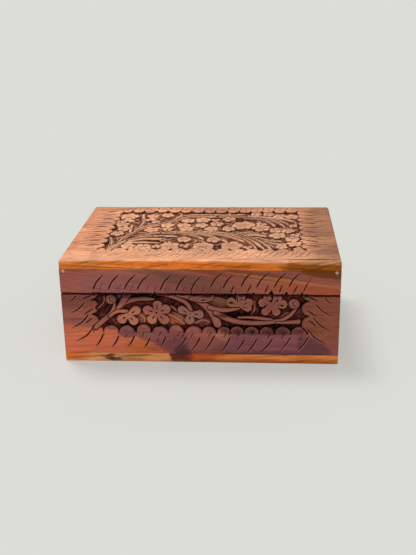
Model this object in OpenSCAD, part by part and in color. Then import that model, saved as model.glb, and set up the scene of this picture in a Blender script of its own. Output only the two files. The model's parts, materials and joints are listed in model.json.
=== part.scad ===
// Hand-carved rosewood keepsake box: five boards below, five boards above,
// joined at the back by two small brass butt hinges. Millimetres, +Z up,
// origin in the middle of the underside, front face towards -Y.

/* [Box] */
// Outside length, left to right
box_l = 158; // [120:1:240]
// Outside depth, front to back
box_d = 110; // [90:1:180]
// Outside height with the lid shut
box_h = 62.5; // [52:0.5:110]
// Thickness of the walls and of the lid's rails
wall_t = 9; // [8:0.5:12]
// Rounding of the upright corners
corner_r = 1.2; // [0.5:0.1:2]
// Thickness of the base board
base_t = 5.6; // [4:0.2:8]
// Rounding of the base board's lower edge
base_r = 1; // [0.5:0.1:1.6]

/* [Lid] */
// Height of the body's rim above the table
rim_z = 42; // [34:0.5:46]
// Gap of the shut seam between rim and lid
seam_gap = 0.6; // [0.3:0.1:0.9]
// Thickness of the lid's top board
top_t = 5.5; // [4.5:0.1:9]
// Rounding of the top board's upper edge
top_r = 2; // [1:0.1:3]

/* [Carving] */
// Depth of the carved grounds below the face
carve_depth = 2.2; // [1:0.1:3]
// Plain border left of and right of every carved ground
border_side = 18; // [16:0.5:28]
// Height of the lower border on the walls, above the base board
border_low = 13; // [11:0.2:18]
// Border along the front of the lid's top
border_front = 19; // [15:0.5:28]
// Border along the back of the lid's top
border_back = 9; // [7:0.5:28]
// Spacing wanted for the rounded leaf tips round a ground
leaf_pitch = 9; // [6:0.5:14]
// How far the leaf tips stand into the ground
leaf_rise = 3.6; // [2:0.1:5]
// Width of the cut between two leaf tips
leaf_gap = 0.9; // [0.5:0.1:1.5]

/* [Hinges] */
// Length of each hinge along its pin
hinge_l = 24; // [16:0.5:30]
// Distance of each hinge's middle from the end of the box
hinge_from_end = 34; // [26:0.5:45]
// Knuckles on each hinge, an odd number
knuckles = 5; // [3:2:7]
// Outside diameter of the barrel
barrel_d = 3; // [2.6:0.1:3.6]
// Diameter of the hinge pin
pin_d = 1.4; // [1:0.1:1.8]
// Wood left between a leaf and the inside of the box
leaf_lip = 0.6; // [0.4:0.1:1.5]
// Thickness of each leaf
leaf_t = 0.8; // [0.6:0.1:1]
// Depth of the pin's axis below the back face
axis_inset = 2; // [1.9:0.1:2.6]
// Opening angle at which the planed back edges meet
stop_angle = 101; // [92:1:110]

/* [Fasteners] */
// Diameter of a hinge screw's head
screw_head_d = 2.8; // [2.2:0.1:3.2]
// Diameter of a hinge screw's shank
screw_d = 1.6; // [1.2:0.1:1.8]
// Length of a hinge screw
screw_l = 7; // [5:0.5:10]
// Spacing of the two screws in a leaf
screw_pitch = 15; // [9:0.5:20]
// Diameter of a nail's shank
nail_d = 1.2; // [0.9:0.1:1.6]
// Diameter of a nail's head
nail_head_d = 1.9; // [1.5:0.1:2.4]
// Length of a nail
nail_l = 18; // [12:1:24]

/* [Hidden] */
$fn = 48;

// Clearances
turn_gap = 0.05;      // pin in its bore, nail or screw in its hole, all round
knuckle_gap = 0.3;    // between neighbouring knuckles
barrel_gap = 0.25;    // barrel to the cove cut for it in the wood
mortise_gap = 0.1;    // round the outline of a leaf let into the rim
head_set = 0.2;       // how far a nail's head is driven below the face
past = 1;             // how far a cutter runs past the wood

// Heights
lid_z = rim_z + seam_gap;         // lower rim of the lid
top_z = box_h - top_t;            // underside of the top board
axis_z = rim_z + seam_gap / 2;    // hinge pin
wall_h = rim_z - base_t;
rail_h = top_z - lid_z;

// Hinge places
axis_y = box_d / 2 - axis_inset;
hinge_x = box_l / 2 - hinge_from_end;
knuckle_l = (hinge_l - (knuckles - 1) * knuckle_gap) / knuckles;
leaf_w = wall_t - axis_inset - leaf_lip;    // from the pin's axis
leaf_back = barrel_d / 2 + knuckle_gap;     // from the axis to a leaf's flat part
screw_y = axis_y - (leaf_back + leaf_w) / 2;
screw_head_h = leaf_t;

// Nail places
nail_head_h = 0.5;
nail_in = wall_t / 2;                       // from an outer corner
wall_nail_z = [base_t + wall_h * 0.25, base_t + wall_h * 0.75];
lid_nail_in = 2.5;
lid_nail_z = top_z - nail_head_d / 2 - 0.1;
base_nail_x = [-1, -0.34, 0.34, 1] * (box_l / 2 - nail_l - 1.5 * nail_d);   // clear of the corner nails

wood = "#8a4a35";
sap_wood = "#c9783f";
brass = "#b8923f";
steel = "#8d8f92";

// ---------- outlines ----------

// Rectangle centred on the origin with its four corners rounded
module round_rect(l, d, r) {
    square([l - 2 * r, d], center = true);
    square([l, d - 2 * r], center = true);
    for (x = [-1, 1], y = [-1, 1]) translate([x * (l / 2 - r), y * (d / 2 - r)]) circle(r);
}

// Section of a board of width w and thickness t, standing on y = 0, upper corners rounded
module top_rounded(w, t, r) {
    translate([-w / 2, 0]) square([w, t - r]);
    translate([-w / 2 + r, 0]) square([w - 2 * r, t]);
    for (x = [-1, 1]) translate([x * (w / 2 - r), t - r]) circle(r);
}

// Board l by d by t standing on z = 0, with its upright corners and its upper edges rounded
module rounded_board(l, d, t, r) {
    intersection() {
        linear_extrude(t) round_rect(l, d, corner_r);
        rotate([90, 0, 0]) linear_extrude(d + 2 * past, center = true) top_rounded(l, t, r);
        rotate([90, 0, 90]) linear_extrude(l + 2 * past, center = true) top_rounded(d, t, r);
    }
}

// How many leaf tips fit a side of length l
function tips(l) = max(1, round(l / leaf_pitch));

// Row of rounded leaf tips along a side of length l, standing up from y = 0
module leaf_tips(l) {
    n = tips(l);
    pitch = l / n;
    r = (pitch - leaf_gap) / 2;
    for (i = [0 : n - 1]) translate([-l / 2 + (i + 0.5) * pitch, leaf_rise - r]) circle(r);
}

// Carved ground from x = -l/2 to l/2 and y = 0 to h. Leaf tips stand in along the foot and
// both ends, and along the top as well where closed is true.
module ground(l, h, closed) {
    difference() {
        translate([-l / 2, 0]) square([l, h]);
        leaf_tips(l);
        if (closed) translate([0, h]) mirror([0, 1]) leaf_tips(l);
        for (s = [-1, 1]) translate([s * l / 2, h / 2]) rotate(s * 90) leaf_tips(h);
    }
}

// ---------- wood ----------

// One side of a mitred frame along the front edge: length l, from z0, h high
module mitred_side(l, z0, h) {
    translate([0, 0, z0]) linear_extrude(h)
        polygon([[-l / 2, 0], [l / 2, 0], [l / 2 - wall_t, wall_t], [-l / 2 + wall_t, wall_t]]);
}

// Puts what stands along y = 0 at the front, right, back or left side (0 to 3)
module at_side(side) {
    offset_y = (side % 2 == 0) ? box_d / 2 : box_l / 2;
    rotate(side * 90) translate([0, -offset_y, 0]) children();
}

// Mitred board at a side, with the box's upright corners rounded
module frame_board(side, z0, h) {
    intersection() {
        at_side(side) mitred_side(side % 2 == 0 ? box_l : box_d, z0, h);
        translate([0, 0, z0]) linear_extrude(h) round_rect(box_l, box_d, corner_r);
    }
}

// Carved ground cut into a wall: the leaf tips stand above the lower border,
// and the ground runs out at the rim
module wall_ground(side) {
    l = (side % 2 == 0 ? box_l : box_d) - 2 * border_side;
    at_side(side) translate([0, carve_depth, base_t + border_low])
        rotate([90, 0, 0]) linear_extrude(carve_depth + past)
            ground(l, wall_h - border_low + past, false);
}

// Planed groove along the back edges of rim and lid: its faces meet at the pin's axis
// and stop the lid at stop_angle
module back_groove() {
    reach = axis_inset + past;
    rise = reach * tan(stop_angle / 2);
    translate([0, axis_y, axis_z]) rotate([90, 0, 90])
        linear_extrude(box_l + 2 * past, center = true)
            polygon([[0, 0], [reach, rise], [reach, -rise]]);
}

module along_x(l) {
    rotate([0, 90, 0]) linear_extrude(l, center = true) children();
}

// Coves for the two barrels and the mortises for the leaves, on the rim or on the lid
module hinge_cuts(up) {
    for (s = [-1, 1]) translate([s * hinge_x, axis_y, axis_z]) {
        along_x(hinge_l + 2 * barrel_gap) circle(barrel_d / 2 + barrel_gap);
        z0 = up > 0 ? -past : -seam_gap / 2 - leaf_t;
        translate([-hinge_l / 2 - mortise_gap, -leaf_w - mortise_gap, z0])
            cube([hinge_l + 2 * mortise_gap, leaf_w + mortise_gap, past + seam_gap / 2 + leaf_t]);
    }
}

module base_board() {
    color(sap_wood) difference() {
        mirror([0, 0, 1]) translate([0, 0, -base_t]) rounded_board(box_l, box_d, base_t, base_r);
        at_base_nails() nail_hole();
    }
}

module wall(side) {
    color(wood) difference() {
        frame_board(side, base_t, wall_h);
        if (side != 2) wall_ground(side);
        back_groove();
        if (side == 2) {
            hinge_cuts(-1);
            for (s = [-1, 1]) at_screws(s, -1) screw_hole();
        }
        at_corner_nails() nail_hole();
        at_base_nails() nail_hole();
    }
}

module rail(side) {
    color(wood) difference() {
        frame_board(side, lid_z, rail_h);
        back_groove();
        if (side == 2) {
            hinge_cuts(1);
            for (s = [-1, 1]) at_screws(s, 1) screw_hole();
        }
        at_lid_nails() nail_hole();
    }
}

module lid_top_board() {
    field_l = box_l - 2 * border_side;
    field_d = box_d - border_front - border_back;
    color(sap_wood) difference() {
        translate([0, 0, top_z]) rounded_board(box_l, box_d, top_t, top_r);
        translate([0, -box_d / 2 + border_front, box_h - carve_depth])
            linear_extrude(carve_depth + past) ground(field_l, field_d, true);
    }
}

// ---------- hinges ----------

function knuckle_x(i) = -hinge_l / 2 + i * (knuckle_l + knuckle_gap);

// One leaf, about its own axis at the origin. up is -1 for the leaf let into the rim and
// 1 for the lid's. The rim's leaf has the even knuckles.
module hinge_leaf(up) {
    first = up < 0 ? 0 : 1;
    z0 = up < 0 ? -seam_gap / 2 - leaf_t : seam_gap / 2;
    color(brass) difference() {
        union() {
            translate([-hinge_l / 2, -leaf_w, z0])
                cube([hinge_l, leaf_w - leaf_back, leaf_t]);
            for (i = [first : 2 : knuckles - 1]) {
                translate([knuckle_x(i), -leaf_w, z0]) cube([knuckle_l, leaf_w, leaf_t]);
                translate([knuckle_x(i) + knuckle_l / 2, 0, 0]) along_x(knuckle_l) circle(barrel_d / 2);
            }
        }
        along_x(hinge_l + 2 * past) circle(pin_d / 2 + turn_gap);
        for (x = [-1, 1]) translate([x * screw_pitch / 2, screw_y - axis_y, up * seam_gap / 2])
            rotate([up < 0 ? 180 : 0, 0, 0]) screw_hole();
    }
}

module at_hinge(s) {
    translate([s * hinge_x, axis_y, axis_z]) children();
}

module hinge_pin(s) {
    color(brass) at_hinge(s) along_x(hinge_l) circle(pin_d / 2);
}

// ---------- fasteners ----------

// Countersunk screw standing up from its head's face at z = 0
module screw() {
    cylinder(h = screw_head_h, d1 = screw_head_d, d2 = screw_d);
    cylinder(h = screw_l, d = screw_d);
}

module screw_hole() {
    grown = 2 * turn_gap;
    cylinder(h = screw_head_h, d1 = screw_head_d + grown, d2 = screw_d + grown);
    translate([0, 0, -past]) cylinder(h = past + turn_gap, d = screw_head_d + grown);
    cylinder(h = screw_l + turn_gap, d = screw_d + grown);
}

// The two screws of a leaf: s is the hinge, up -1 for the rim and 1 for the lid
module at_screws(s, up) {
    for (x = [-1, 1])
        translate([s * hinge_x + x * screw_pitch / 2, screw_y, axis_z + up * seam_gap / 2])
            rotate([up < 0 ? 180 : 0, 0, 0]) children();
}

module hinge_screws(s, up) {
    color(brass) at_screws(s, up) screw();
}

// Nail standing up from z = 0, its head's face set below the wood's face
module nail() {
    translate([0, 0, head_set]) {
        cylinder(h = nail_head_h, d = nail_head_d);
        cylinder(h = nail_l - head_set, d = nail_d);
    }
}

module nail_hole() {
    grown = 2 * turn_gap;
    head_h = head_set + nail_head_h + turn_gap;
    translate([0, 0, -past]) cylinder(h = past + head_h, d = nail_head_d + grown);
    cylinder(h = nail_l + turn_gap, d = nail_d + grown);
}

// Driven in from both ends, through the end walls into the front and back walls
module at_corner_nails() {
    for (x = [-1, 1], y = [-1, 1], z = wall_nail_z)
        translate([x * box_l / 2, y * (box_d / 2 - nail_in), z]) rotate([0, -x * 90, 0]) children();
}

// Driven up through the base board into the front and back walls
module at_base_nails() {
    for (x = base_nail_x, y = [-1, 1]) translate([x, y * (box_d / 2 - nail_in), 0]) children();
}

// Driven in from front and back, through the long rails into the ends of the side rails
module at_lid_nails() {
    for (x = [-1, 1], y = [-1, 1])
        translate([x * (box_l / 2 - lid_nail_in), y * box_d / 2, lid_nail_z])
            rotate([y * 90, 0, 0]) children();
}

module nails() {
    color(steel) children();
}

// ---------- assembly ----------

base_board();
wall(0);  // front_wall
wall(1);  // right_wall
wall(2);  // back_wall
wall(3);  // left_wall
nails() at_corner_nails() nail();  // wall_corner_nails
nails() at_base_nails() nail();  // base_nails
at_hinge(-1) hinge_leaf(-1);  // left_hinge_body_leaf
at_hinge(1) hinge_leaf(-1);  // right_hinge_body_leaf
hinge_pin(-1);  // left_hinge_pin
hinge_pin(1);  // right_hinge_pin
hinge_screws(-1, -1);  // left_hinge_body_screws
hinge_screws(1, -1);  // right_hinge_body_screws
lid_top_board();
rail(0);  // lid_front_rail
rail(1);  // lid_right_rail
rail(2);  // lid_back_rail
rail(3);  // lid_left_rail
nails() at_lid_nails() nail();  // lid_corner_nails
at_hinge(-1) hinge_leaf(1);  // left_hinge_lid_leaf
at_hinge(1) hinge_leaf(1);  // right_hinge_lid_leaf
hinge_screws(-1, 1);  // left_hinge_lid_screws
hinge_screws(1, 1);  // right_hinge_lid_screws
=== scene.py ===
"""Carved rosewood keepsake box: its carving, its timber and its brass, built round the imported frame.

The file is laid out as an add-on. Carved faces are worked out in millimetres, because the carver's cuts are a
few tenths of one, and every mesh is handed over in metres.
"""

import json
import math

import bmesh
import bpy
import numpy as np
from mathutils import Matrix, Vector


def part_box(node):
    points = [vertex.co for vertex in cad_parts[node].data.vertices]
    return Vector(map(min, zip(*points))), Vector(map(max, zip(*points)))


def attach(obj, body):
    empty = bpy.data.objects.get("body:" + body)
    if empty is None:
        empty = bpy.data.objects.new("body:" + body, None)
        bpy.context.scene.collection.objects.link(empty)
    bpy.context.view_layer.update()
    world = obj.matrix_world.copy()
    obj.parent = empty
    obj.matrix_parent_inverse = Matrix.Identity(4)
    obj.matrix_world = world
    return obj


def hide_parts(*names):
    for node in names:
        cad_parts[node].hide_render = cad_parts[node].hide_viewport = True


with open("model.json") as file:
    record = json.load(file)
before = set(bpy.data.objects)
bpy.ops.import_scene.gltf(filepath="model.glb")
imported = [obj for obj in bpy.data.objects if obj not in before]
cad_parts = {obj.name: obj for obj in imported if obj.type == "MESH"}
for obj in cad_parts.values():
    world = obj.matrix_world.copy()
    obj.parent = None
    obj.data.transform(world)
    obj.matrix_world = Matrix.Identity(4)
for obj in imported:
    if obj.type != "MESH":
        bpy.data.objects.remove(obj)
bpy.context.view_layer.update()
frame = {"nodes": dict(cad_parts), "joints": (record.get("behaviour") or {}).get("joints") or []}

bl_info = {
    "name": "Carved keepsake box",
    "version": (1, 0, 0),
    "blender": (4, 5, 0),
    "location": "3D View > Sidebar > Keepsake",
    "description": "Carves, colours and lights a rosewood keepsake box with a hinged lid",
    "category": "Object",
}

MM = 0.001

# ---------------------------------------------------------------- the frame's own sizes, in millimetres


def node_mm(node):
    """Lowest and highest corner of a CAD node, in millimetres."""
    low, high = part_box(node)
    return np.array(low) / MM, np.array(high) / MM


TOP_LOW, TOP_HIGH = node_mm("lid_top_board")
WALL_LOW, WALL_HIGH = node_mm("front_wall")
LENGTH = TOP_HIGH[0] - TOP_LOW[0]
DEPTH = TOP_HIGH[1] - TOP_LOW[1]
THICK = WALL_HIGH[1] - WALL_LOW[1]
RIM = WALL_HIGH[2]
FOOT = WALL_LOW[2]
LID_RIM = node_mm("lid_front_rail")[0][2]
UNDER_TOP = TOP_LOW[2]
HINGE = np.array(frame["joints"][0]["pos_m"]) / MM
HALF_STOP = math.radians(101 / 2)      # half the angle between the planed back edges
PLANE_FADE = 6                         # height over which the planing's slope dies away
CORNER = 1.2                           # rounding of the upright corners
CORNER_TURN = np.radians([11.25, 22.5, 33.75, 45])   # where grid lines stand round half a corner
SOFT_EDGE = 0.35                       # rounding of the seam's edges
TOP_ROUND = 2                          # rounding of the lid's upper edge
HEM = 0.25                             # height of the lid board's lowest hem, and how far it draws in
HEM_IN = 0.2
FINE_U = (-71.5, 71.5)                 # the lid's carved stretches, where its grid lines lie close
FINE_V = (-47, 52)

# The carved fields, in face coordinates: u to the right and v up (or back, on the lid)
FRONT_FIELD = (-61.5, 61.5, 18.6, 60)
END_FIELD = (-37, 37, 18.6, 60)
LID_FIELD = (-60.5, 60.5, -36, 46)
LEAF_PITCH = 8.95                      # border leaf tips: from one to the next, the gap between, the reach
LEAF_GAP = 0.9
LEAF_RISE = 3.6
WALL_RUN = 0.6                         # width of the steep side of a motif or a field
BROW = 0.4                             # how far a motif's top rolls down towards its outline
FIELD_BROW = 0.45                      # the same for the face round a field, and over what width
FIELD_BROW_RUN = 1.1
MOAT = 0.95                            # depth and width of the cut that parts crossing motifs
MOAT_RUN = 0.8
OUTLINE = 0.9                          # darkness of the painted shade line round a motif's foot
PETAL_ROOT = 0.4                       # a petal's width at the heart, as a share of its tip's
PETAL_DISH = 0.22                      # how far its tip is hollowed
SLIT_START = 0.42                      # where its slit starts and how long it is, as shares of the petal
SLIT_LONG = 0.55
POINT = 0.12                           # share of a vine's length that draws to a point
CROWN = 0.22                           # how far a vine's top falls off towards its edges
RIB = 0.35                             # depth of the grooves between ribs
NOTCH = 1.6                            # depth of the nicks in the seam's edge
NAIL_SEAT = 1                          # radius of the pit round a nail's head
RAIL_NAILS = [(-76.5, 55.95), (76.5, 55.95)]
WALL_NAILS = [(u, v) for u in (-50.5, 50.5) for v in (14.7, 32.9)]


# ---------------------------------------------------------------- arrays


def smooth(t):
    """Ramp from 0 to 1 that starts and ends level: t squared times (3 - 2t)."""
    t = np.clip(t, 0, 1)
    return t * t * (3 - 2 * t)


def lattice_noise(u, v, cell, seed):
    """Noise from 0 to 1: random heights on a square lattice `cell` apart, blended with smooth ramps."""
    table = np.random.default_rng(seed).random((64, 64))
    x = u / cell + 640
    y = v / cell + 640
    i = np.floor(x).astype(int)
    j = np.floor(y).astype(int)
    fx = smooth(x - i)
    fy = smooth(y - j)
    low, high = (table[i % 64, row % 64] * (1 - fx) + table[(i + 1) % 64, row % 64] * fx
                 for row in (j, j + 1))
    return low * (1 - fy) + high * fy


def spline(points):
    """Catmull-Rom curve through the points, eight samples to a span."""
    p = np.array(points, float)
    ends = np.vstack([2 * p[0] - p[1], p, 2 * p[-1] - p[-2]])
    t = np.linspace(0, 1, 8, endpoint=False)[:, None]
    spans = []
    for a, b, c, d in zip(ends[:-3], ends[1:-2], ends[2:-1], ends[3:]):
        spans.append(0.5 * (2 * b + (c - a) * t + (2 * a - 5 * b + 4 * c - d) * t ** 2
                            + (3 * b - a - 3 * c + d) * t ** 3))
    return np.vstack(spans + [p[-1:]])


def along(curve, u, v):
    """For every grid point: distance to the curve, share of the way along it, and distance to its left."""
    steps = np.linalg.norm(np.diff(curve, axis=0), axis=1)
    reached = np.concatenate([[0], np.cumsum(steps)]) / steps.sum()
    near = np.full(u.shape, 1e9)
    share = left = np.zeros(u.shape)
    for k in range(len(curve) - 1):
        dx, dy = curve[k + 1] - curve[k]
        rx = u - curve[k, 0]
        ry = v - curve[k, 1]
        t = np.clip((rx * dx + ry * dy) / (dx * dx + dy * dy), 0, 1)
        gap = np.hypot(rx - t * dx, ry - t * dy)
        closer = gap < near
        near = np.where(closer, gap, near)
        share = np.where(closer, reached[k] + t * (reached[k + 1] - reached[k]), share)
        left = np.where(closer, (dx * ry - dy * rx) / steps[k], left)
    return near, share, left


def softened(values):
    """Each point's mean with its neighbours, as 1 2 1 along both axes, so that steep walls don't comb."""
    for _ in range(2):
        p = np.pad(values, [(1, 1), (0, 0)], mode="edge")
        values = (0.25 * p[:-2] + 0.5 * p[1:-1] + 0.25 * p[2:]).T
    return values


def blurred(values, reach):
    """Mean over a square of 2 reach + 1 points, from running sums along each axis."""
    span = 2 * reach + 1
    for _ in range(2):
        total = np.cumsum(np.pad(values, [(reach + 1, reach), (0, 0)], mode="edge"), axis=0)
        values = ((total[span:] - total[:-span]) / span).T
    return values


def middle_gap(lines):
    """Spacing of the grid lines in the middle of a face."""
    middle = len(lines) // 2
    return lines[middle + 1] - lines[middle]


# ---------------------------------------------------------------- carving


class Relief:
    """A carved face: how deep each grid point lies below it in mm, how dark it is, as stain and as painted
    shade in its hollows, and how proud it stands as a motif, both 0 to 1."""

    def __init__(self, us, vs, ground, seed):
        self.us = us
        self.vs = vs
        self.u, self.v = np.meshgrid(us, vs)
        self.depth, self.stain, self.proud = np.zeros((3, *self.u.shape))
        self.ground = ground
        self.rng = np.random.default_rng(seed)
        self.seed = seed

    def window(self, points, margin):
        """The part of the grid round some points, as a pair of slices, with its u and v."""
        p = np.array(points, float)
        low = p.min(0) - margin
        high = p.max(0) + margin
        columns = slice(*np.searchsorted(self.us, [low[0], high[0]]))
        win = slice(*np.searchsorted(self.vs, [low[1], high[1]])), columns
        return win, self.u[win], self.v[win]

    def noise(self, cell, layer, win=...):
        """Noise over the face or a window of it, from a seed of its own for every layer."""
        return lattice_noise(self.u[win], self.v[win], cell, self.seed + layer)

    def darken(self, win, amount):
        """Darkens a window, as stain and painted shade, at least as dark as the amount."""
        self.stain[win] = np.maximum(self.stain[win], amount)

    # -- the sunk ground and its border of leaf tips

    def even_row(self, length):
        """Leaf tips spread along a side and shaken a little: place, half-width and reach of each."""
        count = max(1, round(length / LEAF_PITCH))
        pitch = length / count
        place = (np.arange(count) + 0.5) * pitch + self.rng.uniform(-0.4, 0.4, count)
        half = (pitch - LEAF_GAP) / 2 + self.rng.uniform(-0.15, 0.1, count)
        reach = LEAF_RISE + self.rng.uniform(-0.4, 0.3, count)
        return list(zip(place, half, reach))

    def sink_ground(self, field, sides, rows=None):
        """Lowers the field to the ground. `sides` names the sides that carry leaf tips: l, r, b and t; `rows`
        gives a side's tips where they aren't even: place along u or v, half-width and reach.

        The outline is the rectangle less a disc for every tip. Inside, the depth ramps from the brow to the
        ground over the width of the wall. Outside, the brow rounds over to the face."""
        u0, u1, v0, v1 = field
        inward = {"l": self.u - u0, "r": u1 - self.u, "b": self.v - v0, "t": v1 - self.v}
        inside = np.minimum.reduce(list(inward.values()))
        for side in sides:
            line, start, end = (self.v, v0, v1) if side in "lr" else (self.u, u0, u1)
            tips = [(place - start, half, reach) for place, half, reach in (rows or {}).get(side, [])]
            for place, half, reach in tips or self.even_row(end - start):
                gap = np.hypot(line - start - place, inward[side] - (reach - half)) - half
                inside = np.minimum(inside, gap)
        inside = inside + 0.3 * (self.noise(1.8, 1) - 0.5)
        tool = 0.4 * self.noise(1.7, 2) + 0.22 * self.noise(0.8, 3)
        sunk = FIELD_BROW + (self.ground - FIELD_BROW - tool) * smooth(inside / WALL_RUN)
        rounded = FIELD_BROW * (1 - smooth(-inside / FIELD_BROW_RUN)) ** 1.5
        self.depth = np.maximum(self.depth, np.where(inside > 0, sunk, rounded))
        # painted shade along the foot of the field's wall, where it meets the ground
        self.darken(..., smooth(1 - np.abs(inside - 0.35) / 0.75))

    # -- what is left standing

    def leave(self, win, gap, top, roll):
        """Leaves wood standing where gap < 0. Its top rolls down by the brow near the outline, and a wall
        drops from there. Where it crosses another motif, a cut as deep as the moat parts the two. Painted
        shade darkens a line round the motif's foot and that cut."""
        crest = np.minimum(top + BROW * (1 - smooth(-gap / roll)) ** 1.5, self.ground)
        drop = top + BROW + (self.ground - top - BROW) * smooth(gap / WALL_RUN)
        parted = np.maximum(self.depth[win], MOAT * (1 - smooth(gap / MOAT_RUN)))
        self.depth[win] = np.where(gap < 0, crest, np.minimum(parted, drop))
        # painted shade: a dark line round the motif's foot, where its wall meets the ground
        line = OUTLINE * smooth(1 - np.abs(gap - 0.3) / 0.55)
        self.stain[win] = np.where(gap < 0, line, np.maximum(self.stain[win], line))
        self.proud[win] = np.where(gap < 0, 1 - smooth(top - 0.3), self.proud[win])

    def petals(self, centre, tips, top=0.25, slit=0.55, heart=0.32, crease=0):
        """A flower. Each petal is a tongue that widens from the centre to a round tip, slightly dished, with
        a tear-shaped slit; tips are (u, v, radius). The heart is a small pit, and a crease parts petals where
        they are as near as each other."""
        cu, cv = centre
        win, u, v = self.window([tip[:2] for tip in tips] + [centre], max(tip[2] for tip in tips) + 2)
        off_heart = np.hypot(u - cu, v - cv)
        gap = second = np.full(u.shape, 1e9)
        bowl = pits = np.zeros(u.shape)
        for pu, pv, radius in tips:
            du, dv = pu - cu, pv - cv
            share = ((u - cu) * du + (v - cv) * dv) / math.hypot(du, dv) ** 2
            t = np.clip(share, 0, 1)
            off = np.hypot(u - cu - t * du, v - cv - t * dv)
            edge = off - radius * (PETAL_ROOT + (1 - PETAL_ROOT) * t)
            second = np.minimum(second, np.maximum(gap, edge))
            gap = np.minimum(gap, edge)
            bowl = np.maximum(bowl, smooth(1 - np.hypot(u - pu, v - pv) / (radius * 0.85)))
            cut = np.clip((share - SLIT_START) / SLIT_LONG, 0, 1)
            width = 0.2 * radius * np.sin(math.pi * cut ** 0.7)
            open_slit = smooth(1.2 - off / np.maximum(width, 1e-3)) * (width > 0.02)
            pits = np.maximum(pits, slit * open_slit)
        gap = gap + 0.26 * (self.noise(1.3, 5, win) - 0.5)
        self.leave(win, gap, top + PETAL_DISH * bowl, roll=0.9)
        if heart:
            pits = np.maximum(pits, 0.8 * smooth(1.25 - off_heart / heart))
        seam = crease * smooth(1.3 - (second - gap) / 0.45) * smooth(off_heart / 1.2)
        pits = np.maximum(pits, seam) * (gap < -0.1)
        self.depth[win] += pits
        # painted shade in the heart, the slits and the creases
        self.darken(win, np.clip(pits * 1.5, 0, 1))

    def flower(self, u, v, radius, count, turn, top=0.25):
        """A round flower of nearly equal petals."""
        angles = math.radians(turn) + np.arange(count) * 2 * math.pi / count
        stretch = self.rng.uniform(0.9, 1.1, count)
        tip = radius * (0.43 if count > 3 else 0.47)
        ring = [(u + (radius - tip) * s * math.cos(a), v + (radius - tip) * s * math.sin(a), tip)
                for a, s in zip(angles, stretch)]
        self.petals((u, v), ring, top, slit=0.35, crease=0.45)

    def bud(self, u, v, radius, top=0.2):
        """A round bud: a dome with a sickle cut across it."""
        win, gu, gv = self.window([(u, v)], radius + 2)
        off = np.hypot(gu - u, (gv - v) * 1.06)
        self.leave(win, off - radius, top + 0.25 * smooth(off / radius), roll=radius * 0.6)
        sickle = np.hypot(gu - u - 0.5 * radius, gv - v - 0.3 * radius)
        cut = 0.4 * smooth(1.2 - np.abs(sickle - 0.75 * radius) / 0.4) * (off < 0.7 * radius)
        self.depth[win] += cut
        # painted shade in the sickle cut
        self.darken(win, 1.4 * cut)

    def vine(self, points, wide, thin, top, ribs=0, body=1, blunt=False, rib=RIB):
        """A stem or a long leaf: a band along a curve whose half-width runs from `wide` to `thin`. `body`
        above 1 swells it along the way. Ribs are parted by grooves of depth `rib` that run with it."""
        curve = spline(points)
        win, u, v = self.window(curve, wide * body + 2.4)
        near, share, left = along(curve, u, v)
        half = (wide + (thin - wide) * share) * (1 + (body - 1) * np.sin(math.pi * share))
        if not blunt:
            half = half * np.sqrt(np.clip((1 - share) / POINT, 0.02, 1))
        across = left / np.maximum(half, 0.2)
        gap = near - half
        wave = 0.5 + 0.5 * np.cos(math.pi * (ribs + 1) * (across + 1))
        groove = (ribs > 0) * (1 - wave) * smooth((1 - share) * 6) * (np.abs(across) < 1)
        crest = top + CROWN * smooth(np.abs(across)) + rib * groove
        self.leave(win, gap, crest, roll=np.minimum(1, 0.7 * half + 0.2))
        # painted shade in the grooves between ribs
        self.darken(win, 0.8 * smooth(2 * groove - 0.9) * (gap < -0.2))

    def vines(self, rows):
        """Stems and leaves in order. A row is: half-width at the start and at the end, depth of the top below
        the face, ribs, body, 1 for a blunt end, and the curve as u, v, u, v and so on."""
        for wide, thin, top, ribs, body, blunt, *path in rows:
            self.vine(list(zip(path[::2], path[1::2])), wide, thin, top, ribs, body, blunt)

    def eyelet(self, u, v, long, wide, turn=0, deep=0.9):
        """An oval hole in a petal or leaf."""
        win, gu, gv = self.window([(u, v)], long + 1)
        c, s = math.cos(math.radians(turn)), math.sin(math.radians(turn))
        x = (gu - u) * c + (gv - v) * s
        y = (gv - v) * c - (gu - u) * s
        cut = smooth(1.8 - 1.6 * np.hypot(x / long, y / wide))
        self.depth[win] += deep * cut
        # painted shade in the hole
        self.darken(win, cut)

    # -- cuts into the face

    def stroke(self, u0, v0, u1, v1, bow=0, half=0.5, deep=1.15, dark=1, tail=0.4):
        """An incised line: a cut along a bowed curve that swells in from its start and thins to its end."""
        a = np.array([u0, v0], float)
        b = np.array([u1, v1], float)
        curve = spline([a, (a + b) / 2 + bow * np.array([a[1] - b[1], b[0] - a[0]]), b])
        win, u, v = self.window(curve, half + 1)
        near, share, _ = along(curve, u, v)
        swell = 0.3 + 0.7 * np.clip(np.minimum(share / 0.1, (1 - share) / tail), 0, 1) ** 0.6
        cut = smooth(1.15 - near / (half * swell)) * swell
        self.depth[win] = np.maximum(self.depth[win], np.minimum(self.depth[win], 0.6) + deep * cut)
        # painted shade in the cut
        self.darken(win, dark * smooth(1.7 * cut))

    def gouge(self, u0, v0, u1, v1, half, deep, dark):
        """A short scoop made by one push of a round gouge: a trough that is deepest near its start."""
        line = np.array([(u0, v0), (u1, v1)], float)
        win, u, v = self.window(line, half + 1)
        near, share, _ = along(line, u, v)
        form = smooth(1 - near / (half * (0.45 + 0.75 * np.sin(math.pi * (0.12 + 0.76 * share)))))
        self.depth[win] += deep * form * (0.45 + 0.55 * (1 - share))
        # painted shade in the trough
        self.darken(win, dark * form)

    def notch(self, u, v, wide, tall):
        """A wedge-shaped nick in a straight edge at height v, pointing up by `tall`."""
        win, gu, gv = self.window([(u, v), (u, v + tall)], wide + 0.5)
        rise = (gv - v) / tall
        room = wide / 2 * (1 - rise) - np.abs(gu - (u + 0.15 * tall * rise))
        cut = smooth(room / 0.4 + 0.3) * (rise < 1)
        self.depth[win] = np.maximum(self.depth[win], NOTCH * cut)
        # painted shade in the nick
        self.darken(win, cut)

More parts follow.
